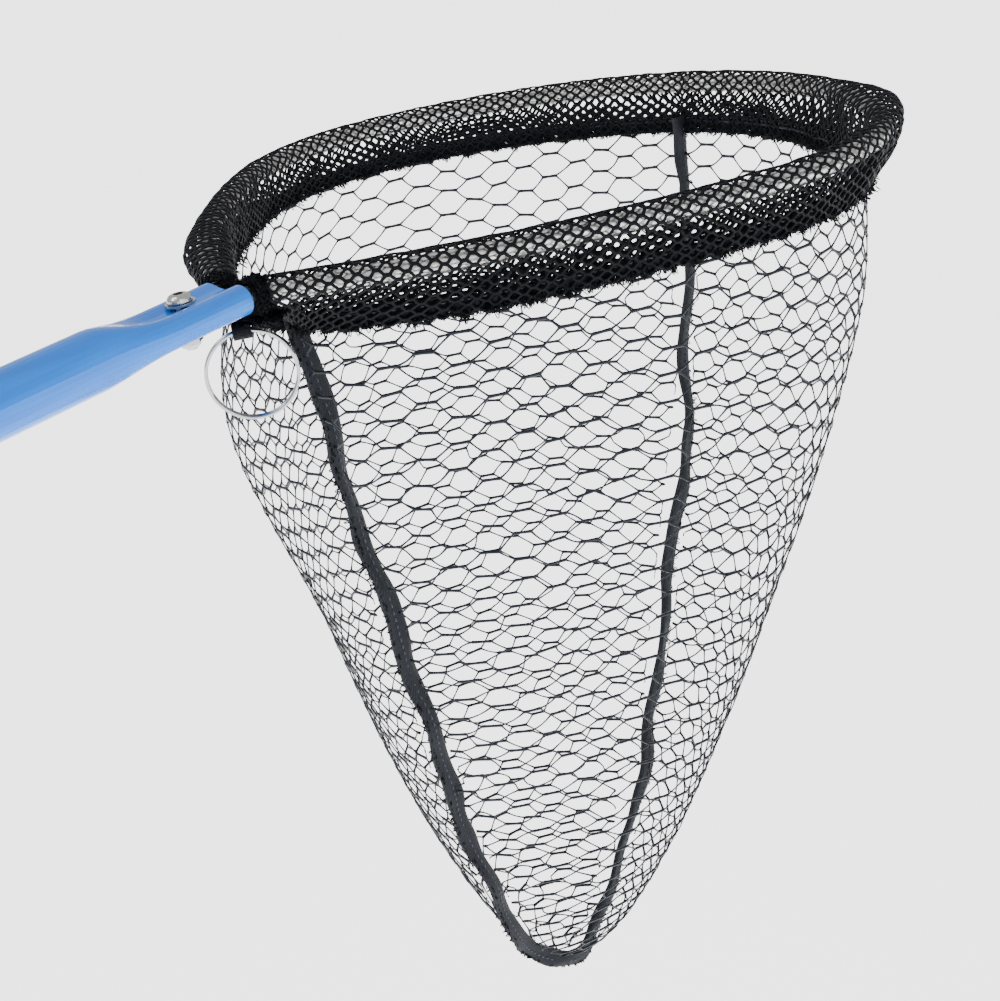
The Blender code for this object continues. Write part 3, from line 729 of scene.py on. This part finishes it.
# %% [markdown]
# # The ruffled edge and the stitches
# Below the hem the cut edge curls and frays into small ruffles, a few millimetres deep.
# A bump map would leave the outline smooth, so the ruffle is thousands of short loops of loose yarn.
# A row of stitches runs along each face of the hem.

# %% Ruffle and stitches
RUFFLE_COUNT = 5200
RUFFLE_START = 0.5
RUFFLE_DEEP = (0.0020, 0.0040)
RUFFLE_YARN = 0.00042
STITCH_HEIGHT = 0.0175
STITCH_SPACING = 0.0032
STITCH_LENGTH = 0.0022
STITCH_PROUD = 0.0030
STITCH_DIP = 0.0012


def ruffle(side, word):
    """Loose loops of yarn below the band: each drops, swings out and comes back beside itself."""
    draw = np.random.default_rng(SEED + 60 + side)
    count = RUFFLE_COUNT
    run = draw.uniform(CUFF_LENGTH * RUFFLE_START, HALF_LENGTH, count)
    foot = skirt_foot(run, side)
    _, ahead, outward = on_hoop(run, side)
    t = np.linspace(0, 1, 7)
    width = draw.uniform(0.0006, 0.0026, (count, 1))
    scallop = 0.75 + 0.35 * np.sin(run * 420 + 1.2 * np.sin(run * 130))
    depth = (draw.uniform(*RUFFLE_DEEP, count) * scallop)[:, None]
    swing = draw.normal(0, 0.0018, (count, 1))
    start = draw.uniform(-0.0045, 0.0004, (count, 1))
    offset = draw.normal(0, 0.0019, (count, 1))
    along = (t - 0.5) * width
    down = start + depth * np.sin(math.pi * t) * 0.8
    out = offset + swing * np.sin(math.pi * t)
    lines = (foot[:, None, :] + ahead[:, None, :] * along[..., None]
             + outward[:, None, :] * out[..., None])
    lines[..., 2] -= down
    normals = np.broadcast_to(outward[:, None, :], lines.shape)
    made = add_yarns(f"ruffle_{word}", [(lines, normals, RUFFLE_YARN, RUFFLE_YARN, 4)])
    made.data.materials.append(KNIT)
    return made


def stitch_row(side, word):
    """Straight stitches along the outer and inner face of the skirt."""
    run = np.arange(CUFF_LENGTH, HALF_LENGTH, STITCH_SPACING)
    foot = skirt_foot(run, side)
    middle, ahead, outward = on_hoop(run, side)
    share = STITCH_HEIGHT / SKIRT_DROP
    lines = []
    for face in (1, -1):
        base = middle * (1 - share) + foot * share
        base[:, 2] = -STITCH_HEIGHT
        t = np.linspace(-0.5, 0.5, 4)
        proud = STITCH_PROUD - STITCH_DIP * (2 * t) ** 2
        lines.append(base[:, None, :] + ahead[:, None, :] * (t * STITCH_LENGTH)[None, :, None]
                     + outward[:, None, :] * (face * proud)[None, :, None])
    lines = np.concatenate(lines)
    normals = np.broadcast_to(np.concatenate([outward, -outward])[:, None, :], lines.shape)
    made = add_yarns(f"hem_stitches_{word}", [(lines, normals, 0.0006, 0.0005, 5)])
    made.data.materials.append(THREAD)
    return made


for side, word in ((1, "left"), (-1, "right")):
    pieces = [bands[word], ruffle(side, word), stitch_row(side, word)]
    for piece in pieces:
        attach(piece, "net")
    print(word, [(p.name, len(p.data.polygons)) for p in pieces])

# %% [markdown]
# # Bunched knit
# Where cloth is gathered tight its yarns lie in deep lengthwise folds. Such a piece is lofted: an oval
# section is carried along a middle line, and folds that vary along it are added to its radius.
# Loose yarns that stand on it break up the outline, as the cut end of a knit does.

# %% Folded bodies and their fuzz
FUZZ_LENGTH = 0.0022
BUNCH_SIDES = 40


def bunched(name, centre, radius_a, radius_b, folds, depth, seed):
    """A lofted closed body: an oval section along a line, with soft folds that run lengthwise."""
    ahead = unit(np.gradient(centre, axis=0))
    across = unit(np.cross(ahead, np.broadcast_to([0.0, 0.0, 1.0], ahead.shape)))
    out = unit(np.cross(across, ahead))
    s = np.linspace(0, 1, len(centre))[:, None]
    angle = np.linspace(0, 2 * math.pi, BUNCH_SIDES, endpoint=False)[None, :]
    pleat = depth * np.sin(folds * angle + 2.2 * wave(seed, s * 4))
    pleat = pleat * (0.6 + 0.4 * wave(seed + 1, s * 7, angle))
    ruck = 0.6 * depth * np.sin(s * 26 + 1.5 * np.sin(angle + seed))
    ra, rb = radius_a(s) + pleat + ruck, radius_b(s) + pleat + ruck
    grid = (centre[:, None, :] + across[:, None, :] * (ra * np.cos(angle))[..., None]
            + out[:, None, :] * (rb * np.sin(angle))[..., None])
    made = strip_mesh(name, grid)
    made.data.materials.append(KNIT)
    return made


def fuzz_on(made, name, count, seed):
    """Short loose yarns that stand on a bunched body."""
    mesh = made.data
    draw = np.random.default_rng(seed)
    pick = draw.integers(0, len(mesh.vertices), count)
    points = np.array([v.co for v in mesh.vertices])[pick]
    normals = np.array([v.normal for v in mesh.vertices])[pick]
    side_way = unit(np.cross(normals, draw.normal(0, 1, (count, 3))))
    t = np.linspace(0, 1, 5)
    lines = (points[:, None, :] + side_way[:, None, :] * ((t - 0.5) * FUZZ_LENGTH)[None, :, None]
             + normals[:, None, :] * (0.0008 * np.sin(math.pi * t) - 0.0002)[None, :, None])
    outward = np.broadcast_to(normals[:, None, :], lines.shape)
    fuzz = add_yarns(name, [(lines, outward, 0.0007, 0.0005, 4)])
    fuzz.data.materials.append(KNIT)
    return fuzz


print("bunched pieces have", BUNCH_SIDES, "points round")

# %% [markdown]
# # Cuffs, gather and ring loop
# Where the hoop enters the handle, the end of the knit strip is bunched round each leg in deep folds.
# Between the legs a gathered tail runs down to the top of the bag's seam. The small eye that carries
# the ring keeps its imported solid, so that the ring still passes through it when it swings.

# %% Cuffs and gather
CUFF_R = 0.0068
CUFF_SWELL = 0.0016
CUFF_FROM = 0.0026
CUFF_SHARE = 0.42
CUFF_FOLDS = 9
CUFF_FOLD_DEPTH = 0.0006
GATHER_FOLDS = 8
GATHER_FOLD_DEPTH = 0.0004
GATHER_WAVE = 0.0006
BUNCH_STEPS = 40
FUZZ_COUNT = 900


def cuff(side, word):
    run = np.linspace(CUFF_FROM, CUFF_LENGTH * CUFF_SHARE, BUNCH_STEPS)
    centre = on_hoop(run, side)[0]

    def radius(s):
        return CUFF_R + CUFF_SWELL * np.sin(math.pi * np.clip(s * 1.1, 0, 1))

    return bunched(f"cuff_folds_{word}", centre, radius, radius, CUFF_FOLDS, CUFF_FOLD_DEPTH, 70 + side)


def gather():
    low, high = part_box("crotch_gather")
    t = np.linspace(0, 1, BUNCH_STEPS)
    x = low[0] + (high[0] - low[0]) * t
    z = (low[2] + high[2]) / 2 + GATHER_WAVE * np.sin(t * 9)

    def wide(s):
        return (high[1] - low[1]) / 2 * (0.55 + 0.45 * np.sin(math.pi * (0.15 + 0.7 * s)))

    def deep(s):
        return (high[2] - low[2]) / 2 * (0.8 + 0.2 * np.sin(math.pi * s))

    centre = np.column_stack([x, np.zeros_like(x), z])
    return bunched("gather_folds", centre, wide, deep, GATHER_FOLDS, GATHER_FOLD_DEPTH, 81)


bunches = [cuff(1, "left"), cuff(-1, "right"), gather()]
for piece, node in zip(bunches, ("cuff_left", "cuff_right", "crotch_gather")):
    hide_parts(node)
fuzzes = [fuzz_on(piece, piece.name.replace("folds", "fuzz"), FUZZ_COUNT, 90 + k)
          for k, piece in enumerate(bunches)]
finish_node("ring_loop", KNIT)
for piece in (*bunches, *fuzzes):
    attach(piece, "net")
    print(piece.name, len(piece.data.polygons), "faces")

# %% [markdown]
# # The seam's line
# The bag is two panels sewn together along one U-shaped seam, the keel, in the net's middle plane.
# It drops from the crotch, turns at the deepest place and comes up again under the hoop's tip.
# A few points give the way it hangs, as shares of the depth, and a smooth line runs through them.

# %% Keel
NET_START = 0.0016
BAG_DEPTH = 0.475
BAG_KEEL_X = 0.295
BAG_SWAY = (-0.009, 0.012)
SWAY_POWER = 2.5
SEAM_TRIM = 0.010
KEEL_SHY = 0.004
TOP_Z = -SKIRT_DROP - NET_START
HANG = BAG_DEPTH - SKIRT_DROP - NET_START
KEEL_ROUTE = ((0.014, 0.25), (0.038, 0.59), (0.074, 0.88))
KEEL_RISE = ((-0.145, 0.92), (-0.078, 0.63), (-0.022, 0.29), (0.0, 0.0))


def catmull(points, steps=24):
    """A smooth line through the points."""
    p = np.asarray(points, float)
    p = np.vstack([2 * p[0] - p[1], p, 2 * p[-1] - p[-2]])
    t = np.linspace(0, 1, steps, endpoint=False)[:, None]
    parts = []
    for a, b, c, d in zip(p[:-3], p[1:-2], p[2:-1], p[3:]):
        parts.append(0.5 * (2 * b + (c - a) * t + (2 * a - 5 * b + 4 * c - d) * t ** 2
                            + (3 * b - a - 3 * c + d) * t ** 3))
    return np.vstack([*parts, p[-2][None]])


def even(line, count, start=0.0, end=0.0):
    """The line again, as evenly spaced points between its trimmed ends."""
    run = np.concatenate([[0], np.cumsum(np.linalg.norm(np.diff(line, axis=0), axis=1))])
    at = np.linspace(start, run[-1] - end, count)
    return np.stack([np.interp(at, run, line[:, k]) for k in range(line.shape[1])], axis=1)


def keel(count):
    """The seam as evenly spaced (x, z) points, from the crotch to the tip."""
    crotch, tip = MOUTH_X + CROTCH_AHEAD, TIP_X - TIP_TUCK - KEEL_SHY
    route = [(crotch, 0.0), *((crotch + a, s) for a, s in KEEL_ROUTE), (BAG_KEEL_X, 1.0),
             *((tip + a, s) for a, s in KEEL_RISE)]
    line = catmull([(x, TOP_Z - HANG * s) for x, s in route])
    return even(line, count, SEAM_TRIM, SEAM_TRIM)


def swayed(points):
    """The points moved with the bag, which hangs more to one side the deeper it goes."""
    share = np.clip((-points[..., 2] - SKIRT_DROP - NET_START) / HANG, 0, 1.1)
    return points + (share ** SWAY_POWER)[..., None] * np.array([*BAG_SWAY, 0.0])


print("keel's lowest point:", np.round(keel(200)[:, 1].min(), 4))

# %% [markdown]
# # The panel's wall
# Each panel starts at the foot of the skirt and ends on the seam. Its fullness near the top makes the
# round mouth. A cloth simulation could hang it, but a mesh bag this open hangs almost without folds,
# so a formula gives the same shape and keeps it the same in every run.

# %% Wall of the bag
BAG_FULLNESS = (1.7, 0.72)
BAG_LEAN = (-0.016, 0.016)
LEAN_WEIGHT = 2.6
BELLY = 0.011
BELLY_RUN = 0.105
BELLY_REACH = 0.060
BELLY_DEPTH = 0.75
BELLY_POWER = 1.2
PULL_DEPTH = 0.45
PULL_POWER = 1.5
COLUMNS = 181
ROWS = 121


def wall(side):
    """Points of one panel as (columns, rows, 3), columns along the hoop and rows from top to seam."""
    share = np.linspace(0, 1, COLUMNS)
    run = share * HALF_LENGTH
    top = skirt_foot(run)
    outward = on_hoop(run, side)[2]
    top_x, top_y = top[:, 0], np.maximum(top[:, 1], SEAM_HALF)
    bottom = keel(COLUMNS)
    s = np.linspace(0, 1, ROWS)[None, :]
    g = 1 - (1 - s ** BAG_FULLNESS[0]) ** BAG_FULLNESS[1]
    widest = top_y.max()
    over = LEAN_WEIGHT * s * (1 - g) * (top_y / widest)[:, None]
    x = top_x[:, None] + (bottom[:, 0] - top_x)[:, None] * g + BAG_LEAN[0] * over
    y = side * (top_y[:, None] * (1 - g) + SEAM_HALF * g) + BAG_LEAN[1] * over
    z = TOP_Z + (bottom[:, 1] + SKIRT_DROP + NET_START)[:, None] * s
    fade = np.clip(1 - s / PULL_DEPTH, 0, 1) ** PULL_POWER
    belly = BELLY * np.exp(-((run - BELLY_RUN) / BELLY_REACH) ** 2) * (side > 0)
    bulge = belly[:, None] * np.sin(math.pi * np.clip(s / BELLY_DEPTH, 0, 1)) ** BELLY_POWER
    shift = outward[:, None, :] * (bulge - pull_in(run, side)[:, None] * fade)[..., None]
    return swayed(np.stack([x, y, z], axis=-1) + shift)


print("widest half of the bag:", round(float(wall(1)[..., 1].max()), 4))

# %% [markdown]
# # The panel as a cloth
# Netting is made flat, with level bars and equal cells. To lay it, each point of the cloth needs a
# place on the bag. The wall is cut into level slices: metres along a slice, and metres down from the
# top, are then the cloth's own two directions, and cells keep their size wherever they hang.

# %% Cloth directions
SLICE_COUNT = 90
SLICE_POINTS = 240
TOP_TRIM = 1e-4
FOOT_TRIM = 0.0015


def level_slices(grid, heights):
    """For each height the line where the panel is cut level, from the near seam to the far seam."""
    slices = []
    for h in heights:
        line = []
        for column in grid:
            z = column[:, 2]
            if z[-1] <= h <= z[0]:
                line.append([np.interp(-h, -z, column[:, k]) for k in (0, 1)] + [h])
        slices.append(np.array(line))
    return slices


class Panel:
    """One panel as a cloth: a is metres along a slice from its middle, d is metres down the cloth."""

    def __init__(self, side):
        grid = wall(side)
        heights = np.linspace(TOP_Z - TOP_TRIM, -BAG_DEPTH + FOOT_TRIM, SLICE_COUNT)
        self.side, self.heights = side, heights
        self.lines, self.start, self.end = [], [], []
        for line in level_slices(grid, heights):
            run = np.concatenate([[0], np.cumsum(np.linalg.norm(np.diff(line, axis=0), axis=1))])
            self.start.append(-run[-1] / 2)
            self.end.append(run[-1] / 2)
            at = np.linspace(0, run[-1], SLICE_POINTS)
            self.lines.append(np.stack([np.interp(at, run, line[:, k]) for k in range(3)], axis=1))
        self.lines = np.array(self.lines)
        self.start, self.end = np.array(self.start), np.array(self.end)
        middle = self.lines[:, SLICE_POINTS // 2]
        step = np.hypot(np.diff(middle[:, 1]), np.diff(heights))
        self.down = np.concatenate([[0], np.cumsum(step)])
        self.depth = self.down[-1]
        self.area = float(np.sum((self.end - self.start)[:-1] * np.diff(self.down)))

    def place(self, a, d):
        """Space points for cloth points. Past the seam a point stays on it."""
        row = np.interp(d, self.down, np.arange(SLICE_COUNT))
        low = np.clip(row.astype(int), 0, SLICE_COUNT - 2)
        part = (row - low)[..., None]
        spots = []
        for k in (low, low + 1):
            share = (a - self.start[k]) / (self.end[k] - self.start[k])
            at = np.clip(share, 0, 1) * (SLICE_POINTS - 1)
            i = np.clip(at.astype(int), 0, SLICE_POINTS - 2)
            w = (at - i)[..., None]
            spots.append(self.lines[k, i] * (1 - w) + self.lines[k, i + 1] * w)
        return spots[0] * (1 - part) + spots[1] * part

    def edges(self, d):
        return np.interp(d, self.down, self.start), np.interp(d, self.down, self.end)

    def inside(self, a, d):
        start, end = self.edges(d)
        return (a > start) & (a < end) & (d < self.depth)


panels = {word: Panel(side) for side, word in ((1, "left"), (-1, "right"))}
print({w: (round(p.depth, 3), round(p.area, 4), round(p.start[0], 3)) for w, p in panels.items()})

# %% [markdown]
# # The netting
# The netting is knotless: thick twisted bars 8 mm long joined by pairs of thin legs, in cells of
# about 16 by 13 mm. It hangs slack, so the cells sag and swing a little and fold together near the seam.
# The folds are waves in the surface that grow away from the skirt and run mostly downwards, and slow
# waves along the cloth draw its rows up and down and crowd its columns, as a slack net does.

# %% Folds of the netting
FOLD = 0.0034
FINE_FOLD = 0.0012
DRIFT_ALONG = 0.0040
DRIFT_DOWN = 0.0036
SEAM_CALM = 0.05
HEM_CALM = 0.06
HEM_CALM_DRIFT = 0.05
TAUT_FOOT = 0.10
TUCK = 0.007


def slack(panel, seed):
    """A surface function for the netting: the panel's shape, with hanging folds."""

    def surface(a, d):
        start, end = panel.edges(d)
        from_seam = np.clip(np.minimum(a - start, end - a) / SEAM_CALM, 0, 1)
        calm = smoothstep(from_seam) * smoothstep(d / HEM_CALM)
        fold = FOLD * wave(seed, a * 34, d * 7) + FINE_FOLD * wave(seed + 1, a * 90, d * 16)
        drift_a = DRIFT_ALONG * wave(seed + 2, a * 22, d * 16) * calm
        drift_d = DRIFT_DOWN * wave(seed + 3, a * 18, d * 14) * smoothstep(d / HEM_CALM_DRIFT)
        depth_share = np.clip(d / panel.depth, 0, 1)
        swell = 1.0 - TAUT_FOOT * smoothstep(depth_share)
        here = panel.place(a + drift_a, d + drift_d)
        inward = np.stack([np.zeros_like(a), np.full_like(a, -panel.side), np.zeros_like(a)], axis=-1)
        here = here + inward * (fold * calm * swell)[..., None]
        here[..., 2] += np.clip(-d, 0, TUCK)
        return here

    return surface


print("folds up to", FOLD, "m, drift up to", DRIFT_ALONG, "m")

# %% [markdown]
# # Laying the netting
# The flat pattern is cut to each panel, and its bars and legs are laid through the folds.
# Knotless netting is twisted at its joints, so every yarn is fatter at its ends than in its middle.
# Legs sag a little, each by its own amount. The top row is tucked up into the hem.

# %% Netting
NET_PITCH = 0.0163
NET_RISE = 0.0132
NET_BAR = 0.0082
BAR_WIDTH = 0.0017
LEG_WIDTH = 0.00100
NET_JITTER = 0.0006
LEG_SAG = (0.0002, 0.0005)
SHORTEST_FLAT = 0.002
SHORTEST_LAID = 0.0012


def net(word, seed):
    panel = panels[word]
    reach = max(-panel.start.min(), panel.end.max())
    columns = (-int(reach / NET_PITCH) - 2, int(reach / NET_PITCH) + 2)
    rows = (-1, int(panel.depth / NET_RISE) + 1)
    bars, legs = hex_lines(columns, rows, NET_PITCH, NET_RISE, NET_BAR, NET_JITTER, seed, 4)
    surface = slack(panel, seed)
    batches = []
    for kind, flat in (("bar", bars), ("leg", legs)):
        flat = flat.copy()
        flat[..., 1] = np.clip(flat[..., 1], -TUCK, panel.depth - 0.0005)
        fits = panel.inside(flat[..., 0], np.clip(flat[..., 1], 0, None)).any(axis=1)
        flat = flat[fits]
        flat = flat[np.linalg.norm(flat[:, -1] - flat[:, 0], axis=1) > SHORTEST_FLAT]
        lines, normals = on_surface(surface, flat)
        t = np.linspace(0, 1, flat.shape[1])
        belly = np.sin(math.pi * t)
        if kind == "leg":
            draw = np.random.default_rng(seed + 9)
            lines[..., 2] -= draw.normal(*LEG_SAG, len(flat))[:, None] * belly
        spread = np.linalg.norm(lines[:, -1] - lines[:, 0], axis=1) > SHORTEST_LAID
        lines, normals = lines[spread], normals[spread]
        bar_waist, leg_waist = BAR_WIDTH * (1.16 - 0.22 * belly), LEG_WIDTH * (1.30 - 0.45 * belly)
        waist = bar_waist if kind == "bar" else leg_waist
        batches.append((lines, normals, np.broadcast_to(waist, lines.shape[:2]),
                        np.broadcast_to(waist * 0.8, lines.shape[:2]), 6))
    made = add_yarns(f"netting_{word}", batches)
    made.data.materials.append(CORD)
    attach(made, "net")
    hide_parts(f"net_panel_{word}")
    return made


nets = {word: net(word, 100 + 10 * k) for k, word in enumerate(panels)}
print({w: len(o.data.polygons) for w, o in nets.items()})

# %% [markdown]
# # The seam's binding
# The two panels meet in a folded binding tape that stands inwards as a fin.
# It hangs slack too: it waves from side to side and twists a little, and both ends run up into the hem.
# A frame of directions is worked out along the seam first, for the tape and for the thread on it.

# %% Binding tape
TAPE_W = 0.0100
TAPE_T = 0.0019
TAPE_TAIL = 0.011
TAPE_SWAY = 0.0032
TAPE_FINE_SWAY = 0.0016
TAPE_TWIST = 0.22
TAPE_END = 0.03
TAPE_SINK = 0.45
TAPE_STEPS = 420
TAIL_STEPS = 6


def tape_frame(count):
    """The seam's line, its direction, the way the fin stands and the way across it."""
    flat = keel(count - 2 * TAIL_STEPS)
    tail = np.linspace(1, 1 / TAIL_STEPS, TAIL_STEPS)[:, None] * [0.0, SEAM_TRIM + TAPE_TAIL]
    flat = even(np.vstack([flat[0] + tail, flat, flat[-1] + tail[::-1]]), count)
    run = np.concatenate([[0], np.cumsum(np.linalg.norm(np.diff(flat, axis=0), axis=1))])
    sway = TAPE_SWAY * wave(51, run * 42) + TAPE_FINE_SWAY * wave(52, run * 95)
    ends = smoothstep(run / TAPE_END) * smoothstep((run[-1] - run) / TAPE_END)
    line = swayed(np.column_stack([flat[:, 0], sway * ends, flat[:, 1]]))
    ahead = unit(np.gradient(line, axis=0))
    inside = unit(np.cross(np.broadcast_to([0.0, 1.0, 0.0], ahead.shape), ahead))
    twist = TAPE_TWIST * wave(53, run * 36)[:, None]
    side_way = unit(np.cross(ahead, inside))
    stand = unit(inside * np.cos(twist) + side_way * np.sin(twist))
    return line, ahead, stand, unit(np.cross(ahead, stand)), run


def make_tape():
    line, ahead, stand, across, run = tape_frame(TAPE_STEPS)
    rise = np.linspace(0, 1, 8)
    profile = [(r, 1) for r in rise] + [(r, -1) for r in rise[::-1]]
    grid = np.zeros((len(line), len(profile), 3))
    for j, (r, face) in enumerate(profile):
        lift = (r - TAPE_SINK) * TAPE_W * (1 + 0.10 * wave(54, run * 150))
        edge = TAPE_T * (0.55 + 0.55 * (1 - abs(2 * r - 1) ** 3))
        curl = 0.0007 * wave(55, run * 120, r * 3)
        grid[:, j] = line + stand * lift[:, None] + across * (face * edge / 1.1 + curl)[:, None]
    made = strip_mesh("binding_tape", grid)
    made.data.materials.append(TAPE)
    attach(made, "net")
    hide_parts("seam_tape")
    return made, run[-1]


tape, tape_length = make_tape()
print("tape length", round(tape_length, 3))

# %% [markdown]
# # Thread on the binding
# A row of straight stitches holds the fold, on both faces of the tape, and the raw edge inside the bag
# is overlocked, so loops of thread curl off it. Both are short yarns placed along the tape's own frame.

# %% Thread on the tape
THREAD_STEPS = 1200
STITCH_STEP = 0.0042
STITCH_ON_TAPE = 0.0020
STITCH_HEIGHT_SHARE = 0.14
STITCH_BOW = 0.0004
TAPE_ENDS_FREE = 0.006
LOOP_COUNT = 1500
LOOP_EDGE_SHARE = 0.50
LOOP_SINK = 0.0008
LOOP_MARGIN = 6


def tape_stitches():
    line, ahead, stand, across, run = tape_frame(THREAD_STEPS)
    pick = np.searchsorted(run, np.arange(TAPE_ENDS_FREE, run[-1] - TAPE_ENDS_FREE, STITCH_STEP))
    t = np.linspace(-0.5, 0.5, 4)
    batches = []
    for face in (1, -1):
        base = line[pick] + stand[pick] * TAPE_W * STITCH_HEIGHT_SHARE + across[pick] * face * TAPE_T
        lines = (base[:, None, :] + ahead[pick][:, None, :] * (t * STITCH_ON_TAPE)[None, :, None]
                 + across[pick][:, None, :] * (face * STITCH_BOW * (1 - (2 * t) ** 2))[None, :, None])
        normals = np.broadcast_to(across[pick][:, None, :] * face, lines.shape)
        batches.append((lines, normals, 0.0007, 0.0005, 5))
    made = add_yarns("tape_stitches", batches)
    made.data.materials.append(THREAD)
    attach(made, "net")
    return made


def tape_overlock():
    """Loops of overlock thread that curl off the tape's inner edge."""
    draw = np.random.default_rng(SEED + 80)
    line, ahead, stand, across, _ = tape_frame(THREAD_STEPS)
    pick = draw.integers(LOOP_MARGIN, len(line) - LOOP_MARGIN, LOOP_COUNT)
    t = np.linspace(0, 1, 6)
    width = draw.uniform(0.0006, 0.0024, (len(pick), 1))
    reach = draw.uniform(0.0004, 0.0021, (len(pick), 1))
    swing = draw.normal(0, 0.0011, (len(pick), 1))
    aside = draw.normal(0, 0.0007, (len(pick), 1))
    base = line[pick] + stand[pick] * TAPE_W * LOOP_EDGE_SHARE + across[pick] * aside
    bow = np.sin(math.pi * t)
    lines = (base[:, None, :] + ahead[pick][:, None, :] * ((t - 0.5) * width)[..., None]
             + stand[pick][:, None, :] * (reach * bow - LOOP_SINK)[..., None]
             + across[pick][:, None, :] * (swing * bow)[..., None])
    normals = np.broadcast_to(across[pick][:, None, :], lines.shape)
    made = add_yarns("tape_overlock", [(lines, normals, 0.0006, 0.0006, 4)])
    made.data.materials.append(KNIT)
    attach(made, "net")
    return made


stitches = tape_stitches()
overlock = tape_overlock()
print("thread faces:", len(stitches.data.polygons), len(overlock.data.polygons))

# %% [markdown]
# The tape is given less than its cut, because its two inner faces lie against the netting and aren't
# made.


# %% [markdown]
# # Studio
# The net is held in the air over a plain pale floor, in soft even light from a white room.
# One broad lamp above and behind gives the painted tube its long highlight, and a cooler one lights
# the near side of the yarn.

# %% Stage and light
FLOOR_Z = -1.3
FLOOR_HALF = 60.0
FLOOR_GLOW = 2.4
SKY_GLOW = 0.9


def make_stage():
    corners = [(x * FLOOR_HALF, y * FLOOR_HALF, FLOOR_Z) for x, y in ((-1, -1), (1, -1), (1, 1), (-1, 1))]
    floor = add_mesh("studio_floor", corners, [(0, 1, 2, 3)], smooth=False)
    floor.data.materials.append(new_material("pale_floor", (0.93, 0.93, 0.93), 0.9,
                                             Emission_Color=(1, 1, 1, 1),
                                             Emission_Strength=FLOOR_GLOW))


def area_lamp(name, place, aim, size, power, colour):
    data = bpy.data.lights.new(name, "AREA")
    data.size = size
    data.energy = power
    data.color = colour
    lamp = bpy.data.objects.new(name, data)
    HOME.objects.link(lamp)
    lamp.location = place
    lamp.rotation_euler = (Vector(aim) - Vector(place)).to_track_quat("-Z", "Y").to_euler()


def make_light():
    world = bpy.context.scene.world or bpy.data.worlds.new("studio")
    bpy.context.scene.world = world
    world.use_nodes = True
    sky = world.node_tree.nodes["Background"]
    sky.inputs["Color"].default_value = (1, 1, 1, 1)
    sky.inputs["Strength"].default_value = SKY_GLOW
    area_lamp("key_lamp", (-0.6, 0.5, 1.3), (0.25, 0, -0.15), 0.9, 14, (1.0, 0.99, 0.97))
    area_lamp("side_lamp", (-0.3, -1.4, 0.4), (0.25, 0, -0.2), 0.8, 6, (0.92, 0.96, 1.0))


make_stage()
make_light()
print("lamps:", [made.name for made in bpy.data.lights])
